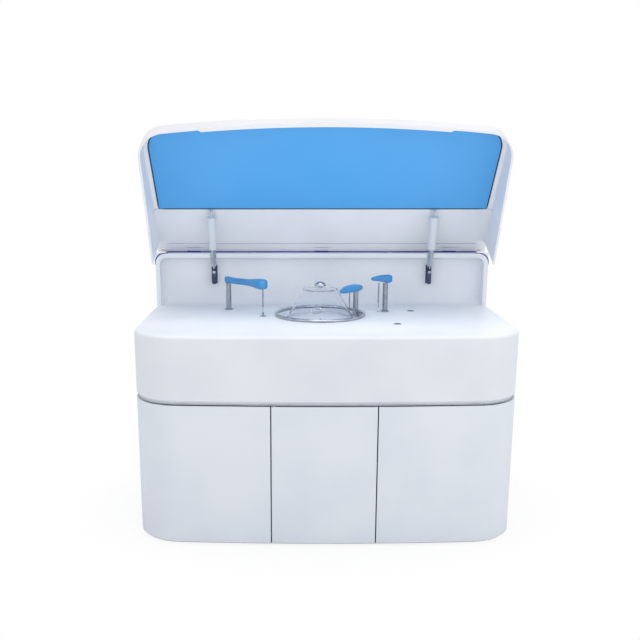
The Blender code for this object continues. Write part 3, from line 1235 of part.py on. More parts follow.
def make_arm(name, place, heading, stations, under, thickness):
    """The arm's cover: rounded bar; a station is (distance, half width, drop of the underside)."""
    (tail, tail_half, tail_drop), (tip, tip_half, tip_drop) = stations[0], stations[-1]
    rows = [(d, tail_half * s, tail_drop, s) for d, s in arm_end(tail, tail_half, 1)]
    rows += [(d, half, drop, 1) for d, half, drop in stations[1:-1]]
    rows += [(d, tip_half * s, tip_drop, s) for d, s in reversed(arm_end(tip, tip_half, -1))]
    along = Vector((math.cos(heading), math.sin(heading), 0))
    across = Vector((-along.y, along.x, 0))
    rings = []
    for distance, half, drop, share in rows:
        tall = (thickness + drop) * (1 - ARM_END_SHARE * (1 - share))
        middle = Vector((*place, under - drop + tall / 2)) + along * distance
        ring = []
        for angle in np.arange(ARM_SECTION_STEPS) * 2 * math.pi / ARM_SECTION_STEPS:
            c, s = math.cos(angle), math.sin(angle)
            wide = math.copysign(abs(c) ** ARM_SQUARE_SHARE, c) * half
            high = math.copysign(abs(s) ** ARM_SQUARE_SHARE, s) * tall / 2
            ring.append(middle + across * wide + Vector((0, 0, high)))
        rings.append(ring)
    piece(f"{name}_arm", add_skin(bmesh.new(), rings), ARM_BLUE, pivot=(*place, under))


def make_probe(name, place, heading, reach, tip_height, under):
    """The steel probe that hangs from the arm's head."""
    spot = probe_place(place, heading, reach)
    tip = DECK_HEIGHT + tip_height
    neck = tip + PROBE_TIP_LENGTH
    profile = [(0, tip), (PROBE_TIP_RADIUS, tip), (PROBE_TIP_RADIUS, neck),
               (PROBE_RADIUS, neck + PROBE_RADIUS), (PROBE_RADIUS, under - GAP), (0, under - GAP)]
    piece(f"{name}_probe", add_turned(bmesh.new(), spot, profile, 16), STEEL, pivot=(*spot, under))


def make_sample_arm():
    """The long arm at the left, over its wash sleeve."""
    place, heading = SAMPLE_POST, SAMPLE_HEADING
    under = DECK_HEIGHT + SAMPLE_UNDER
    make_guide("sample", place, heading, DECK_HEIGHT, SHELL_WALL, FLANGE_RADIUS, SAMPLE_STROKE)
    make_carriage("sample", place, heading)
    make_post("sample", place, under)
    head = SAMPLE_REACH - SAMPLE_HEAD_HALF
    stations = [(-SAMPLE_TAIL, SAMPLE_TAIL_HALF, 0), (SAMPLE_TAIL, SAMPLE_TAIL_HALF, 0),
                (SAMPLE_REACH / 3, SAMPLE_WAIST_HALF, 0), (SAMPLE_REACH * 2 / 3, SAMPLE_WAIST_HALF, 0),
                (head, SAMPLE_HEAD_HALF, SAMPLE_HEAD_DROP),
                (SAMPLE_REACH + SAMPLE_TIP, SAMPLE_HEAD_HALF, SAMPLE_HEAD_DROP)]
    make_arm("sample", place, heading, stations, under, SAMPLE_THICKNESS)
    make_probe("sample", place, heading, SAMPLE_REACH, SAMPLE_TIP_CLEARANCE, under - SAMPLE_HEAD_DROP)


def make_short_arms():
    """The reagent arm beside the cover and the mixing arm behind it."""
    shelf = DECK_HEIGHT - SHELF_DROP
    for name, place, heading, reach, tip, tail, half, height, thickness, clearance in (
            ("reagent", REAGENT_POST, REAGENT_HEADING, REAGENT_REACH, REAGENT_TIP, REAGENT_TAIL,
             REAGENT_HALF, REAGENT_UNDER, REAGENT_THICKNESS, REAGENT_TIP_CLEARANCE),
            ("mixer", MIXER_POST, MIXER_HEADING, MIXER_REACH, MIXER_TIP, MIXER_TAIL,
             MIXER_HALF, MIXER_UNDER, MIXER_THICKNESS, MIXER_TIP_CLEARANCE)):
        under = DECK_HEIGHT + height
        make_post(name, place, under)
        stations = [(-tail, half, 0), (0, half, 0), (tip, half, 0)]
        make_arm(name, place, heading, stations, under, thickness)
        make_probe(name, place, heading, reach, clearance, under)
    outward = math.atan2(REAGENT_POST[1] - CAROUSEL_Y, REAGENT_POST[0] - CAROUSEL_X)
    make_guide("reagent", REAGENT_POST, outward, shelf, BOWL_WALL, REAGENT_FLANGE_RADIUS, 0)
    make_carriage("reagent", REAGENT_POST, outward)
    make_guide("mixer", MIXER_POST, MIXER_HEADING, DECK_HEIGHT, SHELL_WALL, FLANGE_RADIUS, MIXER_STROKE)
    make_carriage("mixer", MIXER_POST, MIXER_HEADING)


def make_wells():
    """Two wash wells and the wash sleeve under the sample probe."""
    deck = DECK_HEIGHT
    seat, floor = deck + GAP, deck - WELL_DEPTH
    top = seat + WELL_FLANGE_HEIGHT
    bore = WELL_RADIUS - WELL_WALL
    profile = [(0, floor), (WELL_RADIUS, floor), (WELL_RADIUS, seat), (WELL_RADIUS + WELL_FLANGE, seat),
               (WELL_RADIUS + WELL_FLANGE, top), (bore, top), (bore, floor + WELL_WALL),
               (WELL_ISLAND_RADIUS, floor + WELL_WALL), (WELL_ISLAND_RADIUS, deck - WELL_ISLAND_DROP),
               (0, deck - WELL_ISLAND_DROP)]
    for name, place in (("rear_well", REAR_WELL), ("front_well", FRONT_WELL)):
        piece(name, add_turned(bmesh.new(), place, profile, 16), GREY_PLASTIC)
    rim = seat + REST_FLANGE_HEIGHT
    sleeve = [(REST_BORE_RADIUS, deck - REST_DEPTH), (REST_RADIUS, deck - REST_DEPTH),
              (REST_RADIUS, seat), (REST_FLANGE_RADIUS, seat), (REST_FLANGE_RADIUS, rim),
              (REST_RADIUS, rim), (REST_RADIUS, deck + REST_HEIGHT),
              (REST_BORE_RADIUS, deck + REST_HEIGHT)]
    spot = probe_place(SAMPLE_POST, SAMPLE_HEADING, SAMPLE_REACH)
    piece("probe_rest", turned_ring(spot, sleeve, 16), GREY_PLASTIC)


def make_supply():
    """The power supply on the floor plate, with cooling slots in its front."""
    floor = GAP - PLATE_SEAT
    (width, depth, height), (cx, cy) = SUPPLY_SIZE, SUPPLY_CENTRE
    front = cy - depth / 2
    bm = add_box(bmesh.new(), (cx - width / 2, front, floor),
                 (cx + width / 2, cy + depth / 2, floor + height))
    supply = piece("power_supply", bm, STEEL)
    slots = bmesh.new()
    for i in range(SUPPLY_SLOT_COUNT):
        x = cx + (i - (SUPPLY_SLOT_COUNT - 1) / 2) * SUPPLY_SLOT_PITCH
        middle = floor + height / 2
        add_box(slots, (x - SUPPLY_SLOT_WIDTH / 2, front - OVERRUN, middle - SUPPLY_SLOT_HEIGHT / 2),
                (x + SUPPLY_SLOT_WIDTH / 2, front + SUPPLY_SLOT_DEPTH, middle + SUPPLY_SLOT_HEIGHT / 2))
    cut(supply, slots, "slots")


def make_fluid_unit():
    """The pump unit behind the middle door, with three round pump heads."""
    floor = GAP - PLATE_SEAT
    (width, depth, height), (cx, cy) = FLUID_SIZE, FLUID_CENTRE
    front = cy - depth / 2
    bm = add_box(bmesh.new(), (cx - width / 2, front, floor),
                 (cx + width / 2, cy + depth / 2, floor + height))
    unit = piece("fluid_unit", bm, GREY_PLASTIC)
    heads = bmesh.new()
    for i in range(FLUID_HEAD_COUNT):
        x = cx + (i - (FLUID_HEAD_COUNT - 1) / 2) * FLUID_HEAD_PITCH
        add_cylinder(heads, (x, floor + FLUID_HEAD_HEIGHT), FLUID_HEAD_RADIUS,
                     front - FLUID_HEAD_DEPTH, front + OVERRUN, "Y")
    weld(unit, heads, "heads")


def make_bottles():
    """The water and waste bottles behind the left door."""
    floor = GAP - PLATE_SEAT
    rim = floor + BOTTLE_HEIGHT
    cap = rim + BOTTLE_NECK_HEIGHT / 3
    profile = [(0, floor), (BOTTLE_RADIUS - BOTTLE_ROUND, floor), (BOTTLE_RADIUS, floor + BOTTLE_ROUND),
               (BOTTLE_RADIUS, rim - BOTTLE_SHOULDER), (BOTTLE_NECK_RADIUS, rim),
               (BOTTLE_NECK_RADIUS, cap), (CAP_RADIUS, cap), (CAP_RADIUS, rim + BOTTLE_NECK_HEIGHT),
               (0, rim + BOTTLE_NECK_HEIGHT)]
    for name, place in (("water_bottle", WATER_BOTTLE_PLACE), ("waste_bottle", WASTE_BOTTLE_PLACE)):
        piece(name, add_turned(bmesh.new(), place, profile, 28), NATURAL_PLASTIC)


clear_scene()
FRAME = make_frame()
HINGE = (0, HINGE_Y, HINGE_Z)
TOP_PLATE_HIGH = SHELL_BOTTOM - GAP
TOP_PLATE_LOW = TOP_PLATE_HIGH - PLATE
MIDDLE_AXIS_X = LEFT_SEAM + SEAM_GAP / 2 + PIVOT_INSET
DOOR_AXES = {
    "left": (PIVOT_INSET - HALF_WIDTH, DOOR_BACK - PIVOT_INSET),
    "middle": (MIDDLE_AXIS_X, front_face(MIDDLE_AXIS_X) + PIVOT_INSET),
    "right": (HALF_WIDTH - PIVOT_INSET, DOOR_BACK - PIVOT_INSET),
}
make_chassis()
make_feet()
make_doors()
make_side_panels()
make_rear_panel()
make_fan_guard()
make_power_inlet()
make_upper_shell()
make_rear_housing()
make_rear_cover()
make_hood_frame()
make_hood_window()
make_hood_rear()
for strut_side, strut_x in (("left", -STRUT_X), ("right", STRUT_X)):
    make_strut(strut_side, strut_x)
    make_strut_brackets(strut_side, strut_x)
make_carousel()
make_cover()
make_sample_arm()
make_short_arms()
make_wells()
make_supply()
make_fluid_unit()
make_bottles()
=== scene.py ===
"""A chemistry analyzer with its hood open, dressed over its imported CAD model. Metres, +Z up."""
import math

import bmesh
import bpy
import numpy as np
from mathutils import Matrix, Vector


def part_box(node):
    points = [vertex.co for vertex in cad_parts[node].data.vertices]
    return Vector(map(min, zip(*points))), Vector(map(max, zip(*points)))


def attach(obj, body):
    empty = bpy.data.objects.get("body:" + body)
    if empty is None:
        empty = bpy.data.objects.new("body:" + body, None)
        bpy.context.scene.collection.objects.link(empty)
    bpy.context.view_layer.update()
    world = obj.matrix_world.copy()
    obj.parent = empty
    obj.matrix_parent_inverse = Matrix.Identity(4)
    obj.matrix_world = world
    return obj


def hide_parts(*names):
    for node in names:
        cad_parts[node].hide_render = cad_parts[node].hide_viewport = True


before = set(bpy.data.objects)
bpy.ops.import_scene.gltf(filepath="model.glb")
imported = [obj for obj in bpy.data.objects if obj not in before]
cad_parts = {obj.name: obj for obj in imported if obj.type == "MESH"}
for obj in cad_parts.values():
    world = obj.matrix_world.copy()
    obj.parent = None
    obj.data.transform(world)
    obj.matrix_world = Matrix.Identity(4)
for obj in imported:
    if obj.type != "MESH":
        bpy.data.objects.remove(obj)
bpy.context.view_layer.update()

# Room: a pale floor under plain studio light, seen through a long lens set a little above the
# deck. The floor shows white to the camera and keeps the machine's soft shadow.
scene = bpy.context.scene
scene.view_settings.view_transform = "Standard"
IMAGE = 640
FOCAL_PX = 841.576
PRINCIPAL_PX = (292.63, 368.66)
SENSOR = 36.0
LENS_PLACE = (-0.127, -3.386, 1.3905)
LENS_TILT = math.radians(76.624)

lens = bpy.data.cameras.new("studio_lens")
lens.sensor_width = SENSOR
lens.lens = FOCAL_PX * SENSOR / IMAGE
lens.shift_x = (IMAGE / 2 - PRINCIPAL_PX[0]) / IMAGE
lens.shift_y = (PRINCIPAL_PX[1] - IMAGE / 2) / IMAGE
camera = bpy.data.objects.new("studio_camera", lens)
camera.location = LENS_PLACE
camera.rotation_euler = (LENS_TILT, 0, 0)
scene.collection.objects.link(camera)
scene.camera = camera


def area_light(name, place, aim, size, watts, colour=(1.0, 1.0, 1.0), tall=None):
    """A lamp at a place, turned to shine at an aim: square, or a strip of a given height that the
    camera doesn't see."""
    data = bpy.data.lights.new(name, "AREA")
    data.color = colour
    data.shape = "RECTANGLE"
    data.size, data.size_y = size, tall or size
    data.energy = watts
    lamp = bpy.data.objects.new(name, data)
    lamp.location = place
    direction = [a - p for a, p in zip(aim, place)]
    flat = math.hypot(direction[0], direction[1])
    lamp.rotation_euler = (math.atan2(flat, -direction[2]), 0,
                           math.atan2(direction[1], direction[0]) - math.pi / 2)
    lamp.visible_camera = tall is None
    scene.collection.objects.link(lamp)


area_light("key", place=(-2.8, -2.4, 2.2), aim=(0.3, 0, 0.9), size=2.4, watts=2)
area_light("fill", place=(2.8, -2.4, 2.2), aim=(-0.3, 0, 0.9), size=2.4, watts=10)
area_light("work", place=(0, -0.47, 1.14), aim=(0, 0.3, 1.14), size=1.2, watts=1.15,
           colour=(1.0, 0.955, 0.87), tall=0.35)
area_light("top", place=(0.2, -2.0, 12.0), aim=(0, -0.2, 0.8), size=7.0, watts=465,
           colour=(1.0, 0.95, 0.88))
area_light("back", place=(0.6, 3.4, 2.6), aim=(0, 0, 0.9), size=2.4, watts=16)


def linear(hex_colour):
    """An sRGB hex colour as linear red, green, blue and alpha."""
    shares = [int(hex_colour[i:i + 2], 16) / 255 for i in (1, 3, 5)]
    return (*[s / 12.92 if s <= 0.04045 else ((s + 0.055) / 1.055) ** 2.4 for s in shares], 1.0)


def add_node(tree, kind, values=None, **settings):
    """Adds a node, sets its properties, then sets or links its inputs by name or number."""
    node = tree.nodes.new(kind)
    for key, value in settings.items():
        setattr(node, key, value)
    for key, value in (values or {}).items():
        if isinstance(value, bpy.types.NodeSocket):
            tree.links.new(value, node.inputs[key])
        else:
            node.inputs[key].default_value = value
    return node


def new_material(name):
    """An empty node material, its tree and its output node."""
    mat = bpy.data.materials.new(name)
    mat.use_nodes = True
    mat.node_tree.nodes.clear()
    return mat, mat.node_tree, mat.node_tree.nodes.new("ShaderNodeOutputMaterial")


def direct_view(tree):
    """One on rays from the camera, straight or through clear plastic, and nil on all others."""
    ray = add_node(tree, "ShaderNodeLightPath")
    either = add_node(tree, "ShaderNodeMath", {
        0: ray.outputs["Is Camera Ray"], 1: ray.outputs["Is Transmission Ray"]}, operation="MAXIMUM")
    return either.outputs[0]


world = bpy.data.worlds.new("studio")
world.use_nodes = True
sky = world.node_tree
sky.nodes.clear()
soft_sky = add_node(sky, "ShaderNodeBackground", {"Color": linear("#f4f5f7"), "Strength": 0.84})
white_sky = add_node(sky, "ShaderNodeBackground", {"Color": linear("#ffffff"), "Strength": 1.0})
sky_mix = add_node(sky, "ShaderNodeMixShader", {0: direct_view(sky), 1: soft_sky.outputs[0],
                                                2: white_sky.outputs[0]})
add_node(sky, "ShaderNodeOutputWorld", {"Surface": sky_mix.outputs[0]})
scene.world = world

# Studio floor: matt white laminate. A light-path mix lets the camera see it as the white sweep
# of the studio, shaded only in an oval round the machine.
FLOOR_HALF = 14.0
OVAL_STRETCH = (1.0, 1.5, 1.0)
SHADE_NEAR, SHADE_FAR = 0.70, 1.15
WHITE_NEAR = 0.86
floor_mesh = bpy.data.meshes.new("floor")
floor_corners = [(x * FLOOR_HALF, y * FLOOR_HALF, 0) for x, y in ((-1, -1), (1, -1), (1, 1), (-1, 1))]
floor_mesh.from_pydata(floor_corners, [], [(0, 1, 2, 3)])
floor = bpy.data.objects.new("floor", floor_mesh)
scene.collection.objects.link(floor)
floor_mat, tree, out = new_material("floor_laminate")
place = add_node(tree, "ShaderNodeTexCoord")
oval = add_node(tree, "ShaderNodeVectorMath", {0: place.outputs["Object"], 1: OVAL_STRETCH},
                operation="MULTIPLY")
far = add_node(tree, "ShaderNodeVectorMath", {0: oval.outputs["Vector"]}, operation="LENGTH")
fade = add_node(tree, "ShaderNodeMapRange", {
    "Value": far.outputs["Value"], "From Min": SHADE_NEAR, "From Max": SHADE_FAR,
    "To Min": WHITE_NEAR, "To Max": 1.0})
matt = add_node(tree, "ShaderNodeBsdfPrincipled", {"Base Color": linear("#e6e7ea"), "Roughness": 0.8})
glow = add_node(tree, "ShaderNodeEmission", {"Color": linear("#ffffff"), "Strength": 1.0})
share = add_node(tree, "ShaderNodeMath", {0: direct_view(tree), 1: fade.outputs["Result"]},
                 operation="MULTIPLY")
mixed = add_node(tree, "ShaderNodeMixShader", {0: share.outputs[0], 1: matt.outputs[0],
                                               2: glow.outputs[0]})
tree.links.new(mixed.outputs[0], out.inputs["Surface"])
floor.data.materials.append(floor_mat)

# Working deck and apron: one deep moulding in white ABS, laid over the cabinet. Its top edge is
# rounded where the sheet was drawn over the tool, and it is trimmed inwards at the foot.
DECK_EDGE = 0.014
DECK_WALL = 0.004
APRON_CHAMFER = 0.012
APRON_HOLD = 0.1
FRONT_BOW = 0.029
FRONT_CORNER = 0.178
REAR_CORNER = 0.030
shell_low, shell_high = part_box("upper_shell")
HALF_WIDTH = shell_high[0]
FRONT_Y = shell_low[1]
REAR_Y = shell_high[1]
DECK_Z = shell_high[2]
BOWL_HOLE = 0.1718
WELL_HOLE = 0.0123
PROBE_HOLE = 0.008
HOLE_LOW, HOLE_HIGH = DECK_Z - 0.03, DECK_Z + 0.01
CREASE = 32.0
WELD = 0.00002
# Painted shade for faces that look up: its dark tone, and the tilt of the normal over which it comes in.
TOP_SHADE_TONE = "#20232a"
TOP_SHADE_TILT = (0.5, 0.9)
CLOUD_EDGES = (0.35, 0.65)
GLOSS_SPREAD = 0.15


def moulded(name, light, dark, roughness, grain, bump, metallic=0.0, cloud=0.25, top_shade=0.0, shine=0.5):
    """A moulded or coated finish: slow clouding of two tones, and a grain of a real size in
    metres that varies the gloss and raises the surface by a bump in metres. A painted shade
    darkens faces that look up, mixing in a dark tone by the given share. Noise scale = 1 / size."""
    mat, tree, out = new_material(name)
    spot = add_node(tree, "ShaderNodeTexCoord")
    fine = add_node(tree, "ShaderNodeTexNoise", {"Vector": spot.outputs["Object"], "Scale": 1 / grain,
                                                 "Detail": 3.0})
    slow = add_node(tree, "ShaderNodeTexNoise", {"Vector": spot.outputs["Object"], "Scale": 1 / cloud,
                                                 "Detail": 2.0})
    tone = add_node(tree, "ShaderNodeMapRange", {
        "Value": slow.outputs["Fac"], "From Min": CLOUD_EDGES[0], "From Max": CLOUD_EDGES[1]})
    colour = add_node(tree, "ShaderNodeMix", {"Factor": tone.outputs["Result"], "A": linear(dark),
                                              "B": linear(light)}, data_type="RGBA")
    # Painted shade: faces that look up take a share of a dark tone, so their tops render darker than the
    # lamps make them.
    way = add_node(tree, "ShaderNodeSeparateXYZ", {0: spot.outputs["Normal"]})
    top_shade_share = add_node(tree, "ShaderNodeMapRange", {
        "Value": way.outputs["Z"], "From Min": TOP_SHADE_TILT[0], "From Max": TOP_SHADE_TILT[1], "To Max": top_shade})
    top_shaded = add_node(tree, "ShaderNodeMix", {"Factor": top_shade_share.outputs["Result"], "A": colour.outputs[2],
                                              "B": linear(TOP_SHADE_TONE)}, data_type="RGBA")
    gloss = add_node(tree, "ShaderNodeMapRange", {
        "Value": fine.outputs["Fac"], "To Min": roughness * (1 - GLOSS_SPREAD),
        "To Max": roughness * (1 + GLOSS_SPREAD)})
    relief = add_node(tree, "ShaderNodeBump", {"Height": fine.outputs["Fac"], "Distance": bump,
                                               "Strength": 0.6})
    skin = add_node(tree, "ShaderNodeBsdfPrincipled", {
        "Roughness": gloss.outputs["Result"], "Normal": relief.outputs["Normal"], "Metallic": metallic,
        "Specular IOR Level": shine})
    tree.links.new(top_shaded.outputs[2], skin.inputs["Base Color"])
    tree.links.new(skin.outputs[0], out.inputs["Surface"])
    return mat


def bow_radius(half, bow):
    """Radius of an arc from its half width and its bow: (half^2 + bow^2) / (2 bow)."""
    return (half ** 2 + bow ** 2) / (2 * bow)


def half_front(half, bow, corner, inset):
    """Right half of a bowed front as (x, y): a shallow arc of the given bow, then a corner arc
    that touches it and the straight side; both arcs shrink by the inset. The corner's centre is
    at x = half - corner, y = radius - sqrt((radius - corner)^2 - x^2)."""
    radius = bow_radius(half, bow)
    cx = half - corner
    cy = radius - math.sqrt((radius - corner) ** 2 - cx ** 2)
    tangent = math.atan2(cx, radius - cy)
    a = np.linspace(0, tangent, 40)[:-1]
    b = np.linspace(tangent, math.pi / 2, 26)
    shallow = np.column_stack([(radius - inset) * np.sin(a), radius - (radius - inset) * np.cos(a)])
    turn = np.column_stack([cx + (corner - inset) * np.sin(b), cy - (corner - inset) * np.cos(b)])
    return np.vstack([shallow, turn])


def body_outline(inset):
    """The body's plan as a closed line of (x, y): bowed front, straight sides, round rear corners,
    and a straight back, every point the inset inside the outer face."""
    front = half_front(HALF_WIDTH, FRONT_BOW, FRONT_CORNER, inset)
    depth = REAR_Y - FRONT_Y
    side = np.column_stack([np.full(16, HALF_WIDTH - inset),
                            np.linspace(front[-1, 1], depth - REAR_CORNER, 18)[1:-1]])
    t = np.linspace(0, math.pi / 2, 8)
    corner = np.column_stack([HALF_WIDTH - REAR_CORNER + (REAR_CORNER - inset) * np.cos(t),
                              depth - REAR_CORNER + (REAR_CORNER - inset) * np.sin(t)])
    back = np.column_stack([np.linspace(HALF_WIDTH - REAR_CORNER, 0, 30)[1:], np.full(29, depth - inset)])
    right = np.vstack([front, side, corner, back])
    left = right[-2:0:-1] * (-1, 1)
    return np.vstack([right, left]) + (0, FRONT_Y)


def grid_mesh(name, points, close_rows=False, caps=False):
    """A mesh over a grid of points, each row of which closes on itself: quads join the rows, the
    last may join the first, and open ends may be capped flat."""
    rows, columns = points.shape[:2]
    index = np.arange(rows * columns).reshape(rows, columns)
    if close_rows:
        index = np.vstack([index, index[:1]])
    index = np.hstack([index, index[:, :1]])
    quads = np.stack([index[:-1, :-1], index[1:, :-1], index[1:, 1:], index[:-1, 1:]], -1).reshape(-1, 4)
    faces = quads.tolist()
    if caps:
        faces += [list(range(columns)), list(range((rows - 1) * columns, rows * columns))]
    mesh = bpy.data.meshes.new(name)
    mesh.from_pydata(points.reshape(-1, 3).tolist(), [], faces)
    return mesh


def dress(name, meshes, material, body, stands_for=(), crease=CREASE):
    """Joins meshes into one finished piece: merged, faces outwards, smooth up to the crease angle,
    riding on its body and standing for its CAD nodes."""
    solid = bmesh.new()
    for mesh in meshes:
        solid.from_mesh(mesh)
        bpy.data.meshes.remove(mesh)
    bmesh.ops.remove_doubles(solid, verts=solid.verts, dist=WELD)
    bmesh.ops.recalc_face_normals(solid, faces=solid.faces)
    mesh = bpy.data.meshes.new(name)
    solid.to_mesh(mesh)
    solid.free()
    mesh.shade_smooth()
    mesh.set_sharp_from_angle(angle=math.radians(crease))
    mesh.materials.append(material)
    piece = bpy.data.objects.new(name, mesh)
    scene.collection.objects.link(piece)
    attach(piece, body)
    if stands_for:
        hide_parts(*stands_for)
    return piece


def middle(node):
    """The middle of a node's box on the plan."""
    low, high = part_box(node)
    return np.array([(low[0] + high[0]) / 2, (low[1] + high[1]) / 2])


def turned(name, profile, steps, place=(0.0, 0.0), closed=False):
    """A surface of revolution: (radius, z) points turned about a vertical axis at a place. A closed
    profile makes a ring; an open one runs from axis to axis."""
    line = np.array(profile, float)
    angle = np.arange(steps) * 2 * math.pi / steps
    points = np.empty((len(line), steps, 3))
    points[..., 0] = place[0] + line[:, :1] * np.cos(angle)
    points[..., 1] = place[1] + line[:, :1] * np.sin(angle)
    points[..., 2] = line[:, 1:]
    return grid_mesh(name, points, close_rows=closed)


def bore(piece, places, radius):
    """Cuts round holes straight down through the deck's top, once, and removes the cutter."""
    cutter = bpy.data.objects.new("cutter", bpy.data.meshes.new("cutter"))
    solid = bmesh.new()
    for x, y in places:
        tool = turned("tool", [(0, HOLE_LOW), (radius, HOLE_LOW), (radius, HOLE_HIGH), (0, HOLE_HIGH)],
                      48, (x, y))
        solid.from_mesh(tool)
        bpy.data.meshes.remove(tool)
    bmesh.ops.remove_doubles(solid, verts=solid.verts, dist=WELD / 2)
    bmesh.ops.recalc_face_normals(solid, faces=solid.faces)
    solid.to_mesh(cutter.data)
    solid.free()
    scene.collection.objects.link(cutter)
    hole = piece.modifiers.new("holes", "BOOLEAN")
    hole.object = cutter
    hole.operation = "DIFFERENCE"
    bpy.context.view_layer.update()
    done = bpy.data.meshes.new_from_object(piece.evaluated_get(bpy.context.evaluated_depsgraph_get()))
    piece.modifiers.clear()
    piece.data = done
    done.set_sharp_from_angle(angle=math.radians(CREASE))
    bpy.data.objects.remove(cutter)


shell_white = moulded("drawn_abs_white", "#edf1f6", "#e7ebf1", 0.42, 0.0035, 0.00006, shine=0.12)
bowl_place = middle("carousel_bowl")


def shell_section():
    """The moulding's section as (share from bowl hole to deck edge, inset, z), all the way round:
    deck top, quarter round, apron, trimmed foot, inner wall, and the deck's underside."""
    arc = np.linspace(math.pi / 2, math.pi, 9)
    rows = [(s, DECK_EDGE, DECK_Z) for s in np.linspace(0, 1, 7)[:-1]]
    rows += [(1, DECK_EDGE + DECK_EDGE * math.cos(a), DECK_Z - DECK_EDGE + DECK_EDGE * math.sin(a))
             for a in arc]
    foot = shell_low[2]
    rows += [(1, 0, foot + APRON_CHAMFER + APRON_HOLD), (1, 0, foot + APRON_CHAMFER),
             (1, APRON_CHAMFER, foot), (1, APRON_CHAMFER + DECK_WALL, foot),
             (1, DECK_WALL, foot + APRON_CHAMFER), (1, DECK_WALL, DECK_Z - DECK_EDGE),
             (1, DECK_EDGE, DECK_Z - DECK_WALL), (0, DECK_EDGE, DECK_Z - DECK_WALL)]
    return rows


ray = body_outline(0) - bowl_place
hole_line = bowl_place + BOWL_HOLE * ray / np.linalg.norm(ray, axis=1, keepdims=True)
rings = []
for share_out, inset, z in shell_section():
    line = hole_line + share_out * (body_outline(inset) - hole_line)
    rings.append(np.column_stack([line, np.full(len(line), z)]))
deck = dress("upper_shell", [grid_mesh("shell", np.array(rings), close_rows=True)], shell_white, "root",
             ["upper_shell"])
bore(deck, [middle("rear_well"), middle("front_well")], WELL_HOLE)
bore(deck, [middle("mixer_probe"), middle("probe_rest")], PROBE_HOLE)

# Cabinet doors: folded steel sheet with a fine powder coat, each hung on pins along one edge. The
# skin turns back all round, so the inner side is a shallow tray and the seams are dark lines.
door_coat = moulded("powder_coat_white", "#e7ecf3", "#e1e7ef", 0.46, 0.0022, 0.00005)


def refine(name, material, edge=0.0):
    """Finishes a CAD node as it stands: welds its loose triangles, rounds its sharp edges by a
    radius, keeps creases past an angle and sets its material."""
    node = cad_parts[name]
    node.modifiers.new("weld", "WELD").merge_threshold = WELD
    if edge:
        rounding = node.modifiers.new("rounding", "BEVEL")
        rounding.width = edge
        rounding.segments = 2
        rounding.limit_method = "ANGLE"
        rounding.angle_limit = math.radians(40)
        rounding.harden_normals = False
    split = node.modifiers.new("crease", "EDGE_SPLIT")
    split.split_angle = math.radians(CREASE)
    split.use_edge_sharp = False
    node.data.shade_smooth()
    for material_slot in node.material_slots:
        material_slot.material = material
    return node


for door in ("left_door", "middle_door", "right_door"):
    refine(door, door_coat, edge=0.0016)

# Trim under the apron: a white extruded strip that closes the cabinet's top edge and leaves only
# a fine shadow line over the doors. It follows the body's plan just inside the outer face.
TRIM_INSET = 0.0075
TRIM_WALL = 0.003
TRIM_ROUND = 0.0008
TRIM_PLAY = 0.0003
SHADOW_LINE = 0.0032
door_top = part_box("middle_door")[1][2]
trim_foot, trim_head = door_top + SHADOW_LINE, shell_low[2] - TRIM_PLAY
trim_rows = [(TRIM_INSET, trim_head), (TRIM_INSET, trim_foot + TRIM_ROUND),
             (TRIM_INSET + TRIM_ROUND, trim_foot), (TRIM_INSET + TRIM_WALL, trim_foot),
             (TRIM_INSET + TRIM_WALL, trim_head)]
trim = np.stack([np.column_stack([body_outline(inset), np.full(len(body_outline(inset)), z)])
                 for inset, z in trim_rows])
dress("apron_trim", [grid_mesh("trim", trim, close_rows=True)], shell_white, "root")

# Side and rear panels and the back of the upstand: sheet steel in a like powder coat, with vent
# slots punched in the back ones. The chassis inside is welded from zinc-plated sheet.
panel_coat = moulded("powder_coat_panel", "#e4e9f1", "#dde3ec", 0.5, 0.0022, 0.00005)
for panel in ("left_side_panel", "right_side_panel", "rear_panel", "rear_cover"):
    refine(panel, panel_coat, edge=0.0008)
chassis_coat = moulded("zinc_passivated", "#b9bfc8", "#a9b0ba", 0.42, 0.004, 0.00003, metallic=0.6,
                       cloud=0.05)
refine("chassis", chassis_coat)

# Upstand behind the deck: a grey-white moulding with a coved recess in its front. The steel rod
# of the hood's hinge lies in a trough along its top.
liner_grey = moulded("moulded_abs_grey", "#ebeff6", "#e3e8f0", 0.45, 0.003, 0.00006, shine=0.2)
refine("rear_housing", liner_grey)
axle_steel = moulded("ground_steel", "#b4b8bf", "#a3a7af", 0.25, 0.002, 0.00002, metallic=1.0,
                     cloud=0.02)
refine("hinge_rod", axle_steel)

# Hood shell: the white skirt, side walls and roof rim are one moulding. It is drawn closed, with
# its rim level, then swung open about the hinge; the skirt's foot turns in as a handle ledge.
HINGE_Y, HINGE_Z = 0.33185, 1.0245
HOOD_ANGLE = math.radians(68.0)
HOOD_HALF = 0.7205
HOOD_REAR_HALF = 0.711
HOOD_BOW = 0.045
HOOD_CORNER = 0.108
HOOD_FRONT = FRONT_Y + 0.116
HOOD_DRAW = FRONT_Y + 0.270
HOOD_SEAM = FRONT_Y + 0.547
HOOD_TIP = FRONT_Y + 0.712
HOOD_LEVEL = FRONT_Y + 0.716
HOOD_RIM_Z = 0.8125
HOOD_ROOF_Z = 1.0425
HOOD_SLOPE = 0.249
HOOD_WALL = 0.005
HOOD_EDGE = 0.020
HOOD_BAND = 0.023
HOOD_FILLET = 0.012
FOOT_ROUND = 0.0012
SKIRT_HOLD = 0.03
BAND_ROUND = 0.0008
TURNED_LIP = [(0.0050, 0.0045), (0.0078, 0.0040), (0.0088, 0.0030), (0.0088, 0.0008), (0.0080, 0.0)]
LEDGE = 0.0168
LEDGE_HIGH = 0.012
LEDGE_ROUND = 0.0025
LEDGE_HALF = 0.470
LEDGE_SLANT = 0.024
LEDGE_PROUD = 0.0006
# The skirt carries a painted shade of 0.10 on its faces that look up.
skirt_white = moulded("moulded_abs_white", "#f3f4f8", "#eef0f5", 0.38, 0.003, 0.00005, top_shade=0.10,
                      shine=0.12)


